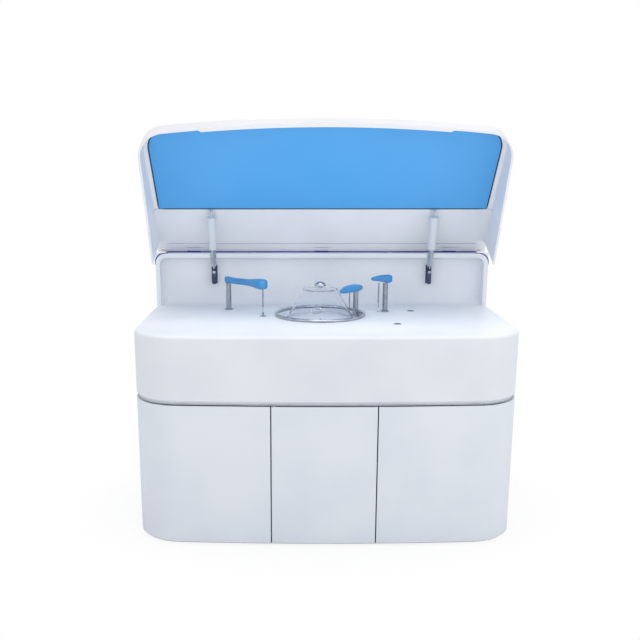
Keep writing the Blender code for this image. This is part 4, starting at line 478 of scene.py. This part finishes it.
def swing_open(points):
    """Turns points drawn on the closed hood back about the hinge to where the hood stands open:
    y' = y cos + z sin, z' = z cos - y sin, from the hinge's axis."""
    y, z = points[..., 1] - HINGE_Y, points[..., 2] - HINGE_Z
    c, s = math.cos(HOOD_ANGLE), math.sin(HOOD_ANGLE)
    return np.stack([points[..., 0], HINGE_Y + y * c + z * s, HINGE_Z - y * s + z * c], -1)


def roof_z(y):
    """Height of the closed hood's roof, level over the upstand: the roof's height less the slope
    times the distance in front of its level part."""
    return HOOD_ROOF_Z - HOOD_SLOPE * np.maximum(HOOD_LEVEL - y, 0)


def hood_line(inset, seam):
    """The hood's plan as (x, y), from the rear left round the bowed front to the rear right; the
    sides draw in towards the rear, in step with the distance behind where they start to."""
    front = half_front(HOOD_HALF, HOOD_BOW, HOOD_CORNER, inset)
    front = front + (0, HOOD_FRONT)
    side = np.column_stack([np.full(14, HOOD_HALF - inset), np.linspace(front[-1, 1], seam, 15)[1:]])
    right = np.vstack([front, side])
    line = np.vstack([right[:0:-1] * (-1, 1), right])
    share = np.clip((line[:, 1] - HOOD_DRAW) / (HOOD_TIP - HOOD_DRAW), 0, 1)
    line[:, 0] *= 1 - share * (1 - HOOD_REAR_HALF / HOOD_HALF)
    return line


def ring_at(inset, roof, rise):
    """One run of the hood's line at a height: above the rim, or, where roof is set, on the roof."""
    line = hood_line(inset, HOOD_SEAM)
    z = roof_z(line[:, 1]) + rise if roof else np.full(len(line), HOOD_RIM_Z + rise)
    return np.column_stack([line, z])


def hood_sections():
    """Runs round the hood's edge section: skirt foot, skirt, rounded roof edge, roof band, the
    hollow's fillet, and the turned-in lip."""
    t = np.linspace(0, math.pi / 2, 8)
    section = [(FOOT_ROUND, False, 0.0), (0.0, False, FOOT_ROUND), (0.0, False, SKIRT_HOLD)]
    section += [(HOOD_EDGE * (1 - math.cos(a)), True, HOOD_EDGE * (math.sin(a) - 1)) for a in t]
    section += [(HOOD_BAND - BAND_ROUND, True, 0.0), (HOOD_BAND, True, -BAND_ROUND),
                (HOOD_BAND, True, -HOOD_WALL)]
    section += [(HOOD_WALL + HOOD_FILLET * (1 - math.sin(a)), True,
                 -HOOD_WALL - HOOD_FILLET * (1 - math.cos(a))) for a in t]
    section += [(inset, False, rise) for inset, rise in TURNED_LIP]
    return np.stack([ring_at(*point) for point in section], 1)


def ledge_mesh():
    """The handle ledge: a bar under the skirt's foot that follows its bow, ends on a slant, and
    has its inner edge rounded. On the bow, y = front + radius - sqrt((radius - inset)^2 - x^2)."""
    radius = bow_radius(HOOD_HALF, HOOD_BOW)
    low, high, r = HOOD_RIM_Z, HOOD_RIM_Z + LEDGE_HIGH, LEDGE_ROUND
    section = [(0.0, low - LEDGE_PROUD), (LEDGE - r, low - LEDGE_PROUD),
               (LEDGE - r * 0.3, low + r * 0.3), (LEDGE, low + r), (LEDGE, high - r),
               (LEDGE - r * 0.3, high - r * 0.3), (LEDGE - r, high), (0.0, high)]
    share = np.linspace(-1, 1, 80)
    columns = []
    for inset, z in section:
        half = LEDGE_HALF + LEDGE_SLANT * (1 - inset / LEDGE)
        x = share * half
        y = HOOD_FRONT + radius - np.sqrt((radius - inset) ** 2 - x ** 2)
        columns.append(np.column_stack([x, y, np.full(len(x), z)]))
    return grid_mesh("ledge", swing_open(np.stack(columns, 1)), caps=True)


hood_shell = grid_mesh("hood_shell", swing_open(hood_sections()), caps=True)
dress("hood_frame", [hood_shell, ledge_mesh()], skirt_white, "hood", ["hood_frame"],
      crease=38)

# Window: tinted acrylic sheet, polished and let in flush with the roof band, with a dark rubber
# seal under its sides. The tint is one even blue, with a slight glow for the light behind it.
WINDOW_THICK = 0.004
WINDOW_PLAY = 0.0004
WINDOW_BEVEL = 0.0007
SEAL_INSET = 0.001
UNDER_SEAL_DROP, UNDER_SEAL = 0.0008, 0.0026
SEAM_SEAL_DROP, SEAM_SEAL = 0.0004, 0.0018


def polished_sheet(name, tint, edge_tint, roughness):
    """Cast acrylic: an even tint with a slight glow, for the light behind it, and a soft gloss."""
    mat, tree, out = new_material(name)
    spot = add_node(tree, "ShaderNodeTexCoord")
    wave = add_node(tree, "ShaderNodeTexNoise", {"Vector": spot.outputs["Object"], "Scale": 6.0,
                                                 "Detail": 1.0})
    colour = add_node(tree, "ShaderNodeMix", {"Factor": wave.outputs["Fac"], "A": linear(edge_tint),
                                              "B": linear(tint)}, data_type="RGBA")
    ripple = add_node(tree, "ShaderNodeBump", {"Height": wave.outputs["Fac"], "Distance": 0.0002,
                                               "Strength": 0.3})
    sheet = add_node(tree, "ShaderNodeBsdfPrincipled", {
        "Roughness": roughness, "IOR": 1.49, "Normal": ripple.outputs["Normal"],
        "Emission Color": linear(tint), "Emission Strength": 0.05})
    tree.links.new(colour.outputs[2], sheet.inputs["Base Color"])
    tree.links.new(sheet.outputs[0], out.inputs["Surface"])
    return mat


window_blue = polished_sheet("tinted_acrylic", "#52a8ea", "#4fa5e7", 0.30)
seal_rubber = moulded("black_rubber", "#23304a", "#1d2840", 0.6, 0.002, 0.00004)


def on_roof(line, rise):
    """A plan line laid on the closed roof at a rise, then swung open with the hood."""
    return swing_open(np.column_stack([line, roof_z(line[:, 1]) + rise]))


# The window's edge: underside, bevelled edge and top, as (inset, rise) from the roof.
window_edge = [(WINDOW_BEVEL, -WINDOW_THICK), (0, -WINDOW_THICK + WINDOW_BEVEL), (0, -WINDOW_BEVEL),
               (WINDOW_BEVEL, 0)]
window_rows = [on_roof(hood_line(HOOD_BAND + WINDOW_PLAY + inset, HOOD_SEAM - WINDOW_PLAY - inset), rise)
               for inset, rise in window_edge]
dress("hood_window", [grid_mesh("window", np.array(window_rows), caps=True)], window_blue, "hood",
      ["hood_window"], crease=25)


def bead(name, path, radius):
    """A round bead along an open path: an eight-sided ring carried square to the path's direction,
    drawn in at both ends."""
    path = np.asarray(path, float)
    along = np.gradient(path, axis=0)
    along /= np.linalg.norm(along, axis=1, keepdims=True)
    aside = np.cross(along, (0.0, 0.0, 1.0))
    flat = np.linalg.norm(aside, axis=1, keepdims=True)
    aside = np.where(flat < 1e-6, (1.0, 0.0, 0.0), aside / np.maximum(flat, 1e-9))
    above = np.cross(aside, along)
    swell = np.full(len(path), radius)
    swell[[0, -1]] *= 0.35
    t = np.arange(8) * math.pi / 4
    ring = np.cos(t)[None, :, None] * aside[:, None] + np.sin(t)[None, :, None] * above[:, None]
    return grid_mesh(name, path[:, None] + ring * swell[:, None, None], caps=True)


seal_line = hood_line(HOOD_BAND + SEAL_INSET, HOOD_SEAM - SEAL_INSET)
under_seal = bead("seal", on_roof(seal_line, -WINDOW_THICK - UNDER_SEAL_DROP), UNDER_SEAL)
seam_line = np.column_stack([np.linspace(seal_line[0, 0], seal_line[-1, 0], 40), np.full(40, HOOD_SEAM)])
seam_seal = bead("seam", on_roof(seam_line, -HOOD_WALL - SEAM_SEAL_DROP), SEAM_SEAL)
dress("window_seal", [under_seal, seam_seal], seal_rubber, "hood")

# Rear of the hood: a grey moulding that closes the roof behind the window and turns on the hinge
# rod. Under it a thin grey lip and a white edge run beside the hinge, a grey bead along the lip's
# front is a painted shadow line for its crease, and a flap closes each corner.
hood_grey = moulded("moulded_abs_hood_grey", "#eceff5", "#e5e9f0", 0.45, 0.003, 0.00006)
refine("hood_rear_section", hood_grey)
WALL_LIP_HALF = 0.704
LIP_START, LIP_JOIN, EDGE_END = -0.044, -0.023, -0.0068
LIP_UNDER = 0.0130
LIP_THICK, EDGE_THICK = 0.0012, 0.0021
STRIP_ROUND = 0.0006
STRIP_PLAY, STRIP_LAP = 0.0003, 0.0001
PLATE_END = -0.018
PLATE_THICK = 0.0035
END_START, END_EXTRA = 0.682, 0.002
CREASE_HALF, CREASE_BEAD = 0.68, 0.0013
FLAP_START, FLAP_END = 0.7030, 0.7195
FLAP_LINE = [(-0.062, 0.0133), (-0.017, 0.0133), (-0.017, 0.0174), (-0.060, 0.0176), (-0.062, 0.0156)]


def lip_strip(name, start, end, thick, closes, sides=(-WALL_LIP_HALF, WALL_LIP_HALF)):
    """A strip under the roof beside the hinge, as a section of (y, z) from the hinge's axis carried
    from side to side; past the plate's end it is as thick as the plate."""
    low, high, r = LIP_UNDER - thick, LIP_UNDER - STRIP_LAP, STRIP_ROUND
    section = [(start, high), (start, low + r), (start + r, low), (end - r, low), (end, low + r)]
    section += [(end, LIP_UNDER + PLATE_THICK), (PLATE_END + STRIP_PLAY, LIP_UNDER + PLATE_THICK),
                (PLATE_END + STRIP_PLAY, high)] if closes else [(end, high)]
    points = [[(a, HINGE_Y + y, HINGE_Z + z) for y, z in section] for a in np.linspace(*sides, 40)]
    return grid_mesh(name, swing_open(np.array(points)), caps=True)


dress("rear_lip", [lip_strip("lip", LIP_START, LIP_JOIN, LIP_THICK, False)], hood_grey, "hood")
flaps = []
for x0, x1 in ((-FLAP_END, -FLAP_START), (FLAP_START, FLAP_END)):
    flap = [[(x, HINGE_Y + y, HINGE_Z + z) for y, z in FLAP_LINE] for x in np.linspace(x0, x1, 4)]
    flaps.append(grid_mesh("flap", swing_open(np.array(flap)), caps=True))
dress("corner_flaps", flaps, hood_grey, "hood")
# Painted shade: a mid-grey bead along the lip's start draws the shadow line of the crease.
crease_line = np.array([[x, HINGE_Y + LIP_START, HINGE_Z + LIP_UNDER]
                        for x in np.linspace(-CREASE_HALF, CREASE_HALF, 60)])
crease_shadow_grey = moulded("painted_crease_shadow", "#8e9bb2", "#8593aa", 0.5, 0.002, 0.00003)
dress("lip_crease_shadow", [bead("crease", swing_open(crease_line), CREASE_BEAD)], crease_shadow_grey, "hood")
edge_parts = [lip_strip("edge", LIP_JOIN, EDGE_END, EDGE_THICK, True)]
for sides in ((-FLAP_END, -END_START), (END_START, FLAP_END)):
    edge_parts.append(lip_strip("end", PLATE_END, EDGE_END + END_EXTRA, EDGE_THICK, True, sides))
dress("rear_edge", edge_parts, skirt_white, "hood")

# Hinge seal: navy rubber sleeves between the hinge's knuckles, and shells and pads over them,
# close the slot along the hinge. A gasket of the same rubber and a grey baffle lie over each
# corner of the upstand.
navy_rubber = moulded("navy_rubber", "#06379a", "#052f88", 0.5, 0.002, 0.00003)
SLEEVE = 0.0125
SLEEVE_BORE = 0.0103
KNUCKLE_X, KNUCKLE_HALF = 0.560, 0.0303
WEB_X, WEB_HALF = 0.300, 0.0105
TROUGH_END = 0.6795
SLEEVE_PLAY = 0.0004
SHELL_TURN = (26, 150)
WEB_TURN = (-34, 34)
PAD_LOW, PAD_HIGH = (-0.0109, 0.0005), (-0.0101, 0.0114)
HOUSING_CORNER = 0.045
GASKET = 0.0026
GASKET_PROUD = 0.0022
GASKET_Y = 0.0045
GASKET_SWEEP = (-0.25, math.pi / 2 + 0.1)
GASKET_GROWTH = 0.6
BAFFLE_Y = (0.008, 0.011)
BAFFLE_RISE = 0.0029
BAFFLE_OUT = 0.0012
BAFFLE_PLAY = 0.0003
BAFFLE_ROUND = 0.006


def sleeve_part(name, x0, x1, first, last):
    """A length of sleeve about the hinge's axis between two angles from straight up, positive to
    the front; a full turn closes on itself. At an angle a: y = -r sin a, z = r cos a."""
    full = last - first > 359
    t = np.radians(np.linspace(first, last, 49)[:-1] if full else np.linspace(first, last, 25))
    x = np.linspace(x0, x1, 12)
    inner = [(-SLEEVE_BORE * math.sin(a), SLEEVE_BORE * math.cos(a)) for a in t]
    outer = [(-SLEEVE * math.sin(a), SLEEVE * math.cos(a)) for a in t]
    if full:
        rows = [[(x0, *p) for p in inner]] + [[(a, *p) for p in outer] for a in x]
        rows += [[(x1, *p) for p in inner]]
    else:
        rows = [[(a, *p) for p in outer + inner[::-1]] for a in x]
    return grid_mesh(name, np.array(rows) + (0, HINGE_Y, HINGE_Z), close_rows=full, caps=not full)


between = [(0.0, WEB_X, KNUCKLE_HALF, WEB_HALF), (WEB_X, KNUCKLE_X, WEB_HALF, KNUCKLE_HALF),
           (KNUCKLE_X, TROUGH_END, KNUCKLE_HALF, 0.0)]
sleeves = []
for x0, x1, near, far in between:
    for side in (-1, 1):
        ends = sorted((side * (x0 + near + SLEEVE_PLAY), side * (x1 - far - SLEEVE_PLAY)))
        sleeves.append(sleeve_part("sleeve", *ends, 0, 360))
pad_line = [PAD_LOW, (PAD_HIGH[0], PAD_LOW[1]), PAD_HIGH, (PAD_LOW[0], PAD_HIGH[1])]
for x in (-KNUCKLE_X, 0.0, KNUCKLE_X):
    sleeves.append(sleeve_part("shell", x - KNUCKLE_HALF, x + KNUCKLE_HALF, *SHELL_TURN))
    pad = [[(x + side * KNUCKLE_HALF, HINGE_Y + y, HINGE_Z + z) for y, z in pad_line] for side in (-1, 1)]
    sleeves.append(grid_mesh("pad", swing_open(np.array(pad)), caps=True))
dress("hinge_seal", sleeves, navy_rubber, "hood")
web_caps = [sleeve_part("cap", x - WEB_HALF, x + WEB_HALF, *WEB_TURN) for x in (-WEB_X, WEB_X)]
dress("web_seal", web_caps, navy_rubber, "root")
housing_low, housing_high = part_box("rear_housing")
centre_x, centre_z = housing_high[0] - HOUSING_CORNER, housing_high[2] - HOUSING_CORNER
gaskets = []
for side in (-1, 1):
    t = np.linspace(*GASKET_SWEEP, 26)
    reach = HOUSING_CORNER + GASKET_PROUD * np.clip(t / GASKET_GROWTH, 0, 1)
    turn = np.clip(t, 0, math.pi / 2)
    x = centre_x + reach * np.sin(turn) + np.minimum(t, 0) * HOUSING_CORNER
    z = centre_z + reach * np.cos(turn) - np.maximum(t - math.pi / 2, 0) * HOUSING_CORNER
    path = np.column_stack([side * np.minimum(x, HALF_WIDTH - GASKET - 0.0001),
                            np.full(26, housing_low[1] + GASKET_Y), z])
    gaskets.append(bead("gasket", path, GASKET))
dress("corner_gaskets", gaskets, navy_rubber, "root")
baffles = []
for side in (-1, 1):
    t = np.linspace(0, math.pi / 2, 14)
    reach = HOUSING_CORNER + BAFFLE_PLAY
    arc = np.column_stack([centre_x + reach * np.sin(t), centre_z + reach * np.cos(t)])
    knee = np.column_stack([housing_high[0] + BAFFLE_OUT - BAFFLE_ROUND * (1 - np.cos(t)),
                            housing_high[2] + BAFFLE_RISE - BAFFLE_ROUND * (1 - np.sin(t))])
    outline = np.vstack([arc, knee, [(centre_x, housing_high[2] + BAFFLE_RISE)]])
    plate = [np.column_stack([side * outline[:, 0], np.full(len(outline), housing_low[1] + y), outline[:, 1]])
             for y in BAFFLE_Y]
    baffles.append(grid_mesh("baffle", np.array(plate), caps=True))
dress("corner_baffles", baffles, hood_grey, "root")

# Gas struts: a chromed rod on a dark pressed bracket in the recess, and a painted tube on a
# bracket under the hood's roof. A screw head shows on each lower bracket.
chrome = moulded("chrome_plate", "#c3c8d0", "#aab0ba", 0.12, 0.004, 0.00001, metallic=1.0, cloud=0.03)
dark_zinc = moulded("black_passivated_steel", "#4a5470", "#3c4560", 0.35, 0.003, 0.00003,
                    metallic=0.7, cloud=0.03)
tube_grey = moulded("painted_tube", "#e0e5ed", "#d6dde7", 0.35, 0.003, 0.00003)
STRUT_X = 0.470
SCREW_RADIUS = 0.0066
SCREW_HEIGHT = 0.0024
SCREW_ROUND = 0.0006
SCREW_Z = 0.9508
socket_z = SCREW_HEIGHT * 0.4
screw_line = [(0, 0), (SCREW_RADIUS, 0), (SCREW_RADIUS, SCREW_HEIGHT - SCREW_ROUND),
              (SCREW_RADIUS - SCREW_ROUND, SCREW_HEIGHT), (SCREW_RADIUS * 0.55, SCREW_HEIGHT),
              (SCREW_RADIUS * 0.5, socket_z), (0, socket_z)]
for side, x in (("left", -STRUT_X), ("right", STRUT_X)):
    refine(f"{side}_strut_rod", chrome)
    refine(f"{side}_strut_tube", tube_grey, edge=0.0012)
    refine(f"{side}_strut_bracket", dark_zinc, edge=0.0008)
    refine(f"{side}_hood_bracket", tube_grey, edge=0.0008)
    bracket_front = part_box(f"{side}_strut_bracket")[0][1]
    screw = turned("screw", screw_line, 32)
    upright = np.array([corner.co for corner in screw.vertices])
    laid = np.column_stack([upright[:, 0] + x, bracket_front - upright[:, 2], upright[:, 1] + SCREW_Z])
    screw.vertices.foreach_set("co", laid.ravel())
    dress(f"{side}_pivot_screw", [screw], chrome, "root")

# Carousel: a white bowl let into the deck, a chromed rail round it, and a natural polypropylene
# rotor with cells for the sample cups. A dark pointer runs forward over the rotor, and an index
# line with a round mark lies on the shelf in front of it.
RAIL_RADIUS = 0.179
RAIL_WIRE = 0.006
SHELF_DROP = 0.009
INDEX_WIRE = 0.0016
POINTER_REACH = (0.022, 0.124)
INDEX_REACH = (0.139, 0.167)
MARK_PLACE = 0.163
MARK_RADIUS = 0.0034
MARK_HIGH = 0.0018
bowl_white = moulded("moulded_pp_white", "#e9edf4", "#e0e6ef", 0.4, 0.003, 0.00004)
rotor_white = moulded("natural_polypropylene", "#e6eaf0", "#dde2ea", 0.35, 0.003, 0.00004)
refine("carousel_bowl", bowl_white)
refine("carousel_rotor", rotor_white)
refine("carousel_shaft", axle_steel)
refine("carousel_motor", dark_zinc, edge=0.0008)
rail_low, rail_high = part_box("carousel_ring")
rail_z = (rail_low[2] + rail_high[2]) / 2


def torus(name, place, z, radius, wire, steps=120, sides=20):
    """A round wire bent to a ring: a small circle turned about a vertical axis. At an angle t the
    wire's surface is at radius + wire cos t and z + wire sin t."""
    t = np.arange(sides) * 2 * math.pi / sides
    circle = np.column_stack([radius + wire * np.cos(t), z + wire * np.sin(t)])
    return turned(name, circle, steps, place, closed=True)


def index_path(reach, z, steps):
    """Points straight forward from the carousel's axis, between two distances, that let a bead
    sink into the face it lies on."""
    return [(bowl_place[0], bowl_place[1] - r, z + INDEX_WIRE * 0.4) for r in np.linspace(*reach, steps)]


dress("carousel_rail", [torus("rail", bowl_place, rail_z, RAIL_RADIUS, RAIL_WIRE)], chrome, "root",
      ["carousel_ring"])
rotor_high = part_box("carousel_rotor")[1][2]
shelf_z = DECK_Z - SHELF_DROP
pointer = bead("pointer", index_path(POINTER_REACH, rotor_high, 20), INDEX_WIRE)
dress("rotor_pointer", [pointer], dark_zinc, "carousel")
mark_line = [(0, shelf_z), (MARK_RADIUS, shelf_z), (MARK_RADIUS, shelf_z + MARK_HIGH - 0.0006),
             (MARK_RADIUS - 0.0008, shelf_z + MARK_HIGH), (0, shelf_z + MARK_HIGH)]
mark = turned("mark", mark_line, 24, (bowl_place[0], bowl_place[1] - MARK_PLACE))
index_line = bead("index", index_path(INDEX_REACH, shelf_z, 10), INDEX_WIRE)
dress("index_mark", [index_line, mark], dark_zinc, "root")

# Cover of the carousel: one clear moulding in polycarbonate with a flange that stands on the
# shelf and a wire rim at its shoulder. A domed chrome knob lifts it off, a small clip lies on its
# crown, and a pull ring on its flank.
COVER_FOOT = 0.137
COVER_BASE = 0.133
COVER_TOP = 0.070
COVER_WALL = 0.0025
CROWN_Z = DECK_Z + 0.114
CROWN_RISE = 0.006
KNOB_SEAT = 0.0093
SHOULDER, SHOULDER_DROP = 0.006, 0.005
CONE_ANGLE = math.radians(62)
CONE_FOOT, CONE_FILLET = 0.002, 0.0015
FLANGE_ROUND = 0.0006
RIM_WIRE, RIM_OUT, RIM_DROP = 0.0013, 0.0012, 0.001
KNOB_RADIUS = 0.024
KNOB_WAIST = 0.0095
NECK, NECK_FLARE = 0.009, 0.002
NECK_HIGH, FLARE_HIGH = 0.004, 0.006


def clear_plastic(name, tint, roughness):
    """Clear moulding: light passes straight through with a faint tint; only edges and gloss show."""
    mat, tree, out = new_material(name)
    spot = add_node(tree, "ShaderNodeTexCoord")
    flow = add_node(tree, "ShaderNodeTexNoise", {"Vector": spot.outputs["Object"], "Scale": 30.0})
    ripple = add_node(tree, "ShaderNodeBump", {"Height": flow.outputs["Fac"], "Distance": 0.0002,
                                               "Strength": 0.2})
    glass = add_node(tree, "ShaderNodeBsdfPrincipled", {
        "Base Color": linear(tint), "Roughness": roughness, "IOR": 1.07, "Transmission Weight": 1.0,
        "Normal": ripple.outputs["Normal"]})
    tree.links.new(glass.outputs[0], out.inputs["Surface"])
    return mat


cover_clear = clear_plastic("clear_polycarbonate", "#fcfdff", 0.02)


def cover_profile():
    """The cover's wall as (radius, z), from the knob's seat over the crown, round the shoulder,
    down the cone to the flange, and back up inside. Crown: z = top - rise (r / top radius)^2."""
    base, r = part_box("carousel_cover")[0][2], FLANGE_ROUND
    crown = [(x, CROWN_Z - CROWN_RISE * (x / COVER_TOP) ** 2)
             for x in np.linspace(KNOB_SEAT, COVER_TOP - SHOULDER, 9)]
    shoulder = [(COVER_TOP - SHOULDER + SHOULDER * math.sin(a),
                 CROWN_Z - CROWN_RISE - SHOULDER_DROP + SHOULDER * math.cos(a))
                for a in np.linspace(0.1, 1.0, 6) * CONE_ANGLE]
    foot = [(COVER_BASE, base + COVER_WALL + CONE_FOOT), (COVER_BASE + CONE_FILLET, base + COVER_WALL),
            (COVER_FOOT - r, base + COVER_WALL), (COVER_FOOT, base + COVER_WALL - r),
            (COVER_FOOT, base + r), (COVER_FOOT - r, base), (COVER_BASE - COVER_WALL, base)]
    inner = [(max(x - COVER_WALL, 0), z - COVER_WALL) for x, z in (crown + shoulder)[::-1]]
    return [(0, crown[0][1])] + crown + shoulder + foot + inner + [(0, crown[0][1] - COVER_WALL)]


dress("cover_shell", [turned("cover", cover_profile(), 96, bowl_place)], cover_clear, "cover",
      ["carousel_cover"])
rim = torus("rim", bowl_place, CROWN_Z - CROWN_RISE - RIM_DROP, COVER_TOP + RIM_OUT, RIM_WIRE, 96, 8)
dress("cover_rim", [rim], chrome, "cover")
knob_foot, knob_top = (corner[2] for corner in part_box("cover_knob"))
waist_z = knob_foot + KNOB_WAIST
dome = [(KNOB_RADIUS * math.cos(a), waist_z + (knob_top - waist_z) * math.sin(a))
        for a in np.linspace(-0.35, math.pi / 2, 18)[:-1]]
knob_line = [(0, knob_foot), (NECK, knob_foot), (NECK, knob_foot + NECK_HIGH),
             (NECK + NECK_FLARE, knob_foot + FLARE_HIGH)]
knob_line += [(r, z) for r, z in dome if z > knob_foot + FLARE_HIGH] + [(0, knob_top)]
dress("cover_knob", [turned("knob", knob_line, 48, bowl_place)], chrome, "cover",
      ["cover_knob"])
refine("cover_clip", chrome, edge=0.0012)
refine("cover_latch", chrome)

# Probe arms: a blue moulded cover over a light beam, on a ground steel post that rises from a
# flanged bush. The thin steel probe hangs from the arm's head.
arm_blue = moulded("moulded_abs_blue", "#3e95d2", "#3688c6", 0.34, 0.003, 0.00005, cloud=0.08)
post_steel = moulded("ground_post_steel", "#a9aeb8", "#989da8", 0.22, 0.0015, 0.00001, metallic=1.0,
                     cloud=0.02)
probe_steel = moulded("drawn_tube_steel", "#aab0bc", "#99a0ad", 0.25, 0.0015, 0.00001, metallic=1.0,
                      cloud=0.02)
ARM_POWER = 0.62
ARM_STATIONS = 56
ARM_SIDES = 36
ARM_PLAY = 0.0003
END_ROUND = 0.9
END_RISE = 0.45


def arm_mesh(name, keys, under):
    """A moulded bar along its heading: superellipse sections whose half width, underside drop and
    top height follow keys of (distance, half width, drop, top), shrunk on a quarter round at both
    ends. Section at an angle t: across = half sign(cos t) |cos t|^p, up = rise sign(sin t) |sin t|^p."""
    post, probe = middle(f"{name}_post"), middle(f"{name}_probe")
    along = (probe - post) / np.linalg.norm(probe - post)
    across = np.array([-along[1], along[0]])
    keys = np.array(keys)
    start, end = keys[0, 0], keys[-1, 0]
    d = start + (end - start) * (1 - np.cos(np.linspace(0.02, math.pi - 0.02, ARM_STATIONS))) / 2
    half, drop, top = (np.interp(d, keys[:, 0], keys[:, k]) for k in (1, 2, 3))
    smooth = np.array([1, 4, 6, 4, 1]) / 16
    half, drop, top = (np.convolve(np.pad(v, 2, mode="edge"), smooth, "valid") for v in (half, drop, top))
    near = np.minimum(d - start, end - d)
    shrink = np.sqrt(1 - np.clip(1 - near / (half * END_ROUND), 0, 1) ** 2)
    t = np.arange(ARM_SIDES) * 2 * math.pi / ARM_SIDES
    u = np.sign(np.cos(t)) * np.abs(np.cos(t)) ** ARM_POWER
    v = np.sign(np.sin(t)) * np.abs(np.sin(t)) ** ARM_POWER
    low, high = under - drop, under + top
    rise = (high - low) / 2 * (END_RISE + (1 - END_RISE) * shrink)
    points = np.empty((len(d), len(t), 3))
    for axis in (0, 1):
        points[..., axis] = (post[axis] + d[:, None] * along[axis]
                             + (half * shrink)[:, None] * u * across[axis])
    points[..., 2] = ((high + low) / 2)[:, None] + rise[:, None] * v
    return grid_mesh(name, points, caps=True)


# Each arm's keys: distance from the post, half width, underside drop, top height.
arm_keys = {
    "sample": [(-0.018, 0.013, 0.0, 0.027), (0.0, 0.0150, 0.0, 0.027), (0.04, 0.0130, 0.0, 0.025),
               (0.13, 0.0135, -0.002, 0.028), (0.180, 0.018, 0.001, 0.034), (0.205, 0.0215, 0.005, 0.037),
               (0.243, 0.0215, 0.005, 0.035)],
    "reagent": [(-0.042, 0.010, -0.008, 0.018), (-0.02, 0.018, -0.002, 0.026), (0.0, 0.021, 0.0, 0.029),
                (0.03, 0.021, 0.0, 0.030), (0.060, 0.018, -0.001, 0.028), (0.085, 0.014, -0.001, 0.022),
                (0.108, 0.010, -0.002, 0.016)],
    "mixer": [(-0.028, 0.020, 0.0, 0.034), (-0.008, 0.020, 0.0, 0.034), (0.010, 0.018, -0.004, 0.033),
              (0.030, 0.015, -0.006, 0.030), (0.048, 0.012, -0.008, 0.025), (0.060, 0.009, -0.010, 0.021)]}
for name, keys in arm_keys.items():
    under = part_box(f"{name}_post")[1][2] + ARM_PLAY
    dress(f"{name}_arm_cover", [arm_mesh(name, keys, under)], arm_blue, f"{name}_arm",
          [f"{name}_arm"], crease=60)
    refine(f"{name}_post", post_steel)
    refine(f"{name}_probe", probe_steel)
    refine(f"{name}_guide", post_steel, edge=0.0006)
    refine(f"{name}_carriage", dark_zinc, edge=0.0008)

# Wells and the wash sleeve: grey acetal cups with a post in the middle, and an open sleeve under
# the long arm's probe, all pressed into the deck with a thin flange.
acetal_grey = moulded("turned_acetal", "#8f96a3", "#7f8794", 0.4, 0.002, 0.00003)
for well in ("front_well", "rear_well", "probe_rest"):
    refine(well, acetal_grey, edge=0.0003)

# Units in the cabinet: folded zinc-plated power supply, moulded pump unit and two polyethylene
# bottles, all seen only with the doors open.
unit_grey = moulded("moulded_abs_unit", "#8d949e", "#838a95", 0.5, 0.003, 0.00005)
bottle_white = moulded("blown_polyethylene", "#e3e6e8", "#d8dcdf", 0.4, 0.004, 0.00006)
refine("power_supply", chassis_coat, edge=0.001)
refine("fluid_unit", unit_grey, edge=0.0025)
refine("water_bottle", bottle_white)
refine("waste_bottle", bottle_white)

# Back of the cabinet: the fan's moulded guard, the mains inlet and its rocker switch in black
# glass-filled nylon, and the rubber levelling feet.
nylon_black = moulded("glass_filled_nylon", "#24262b", "#1b1d21", 0.5, 0.002, 0.00006)
foot_rubber = moulded("foot_rubber", "#1c1d20", "#141518", 0.75, 0.003, 0.0001)
refine("fan_guard", unit_grey)
refine("power_inlet", nylon_black, edge=0.0006)
refine("power_switch", nylon_black, edge=0.0005)
for foot in ("front_left_foot", "front_right_foot", "rear_left_foot", "rear_right_foot"):
    refine(foot, foot_rubber, edge=0.0008)
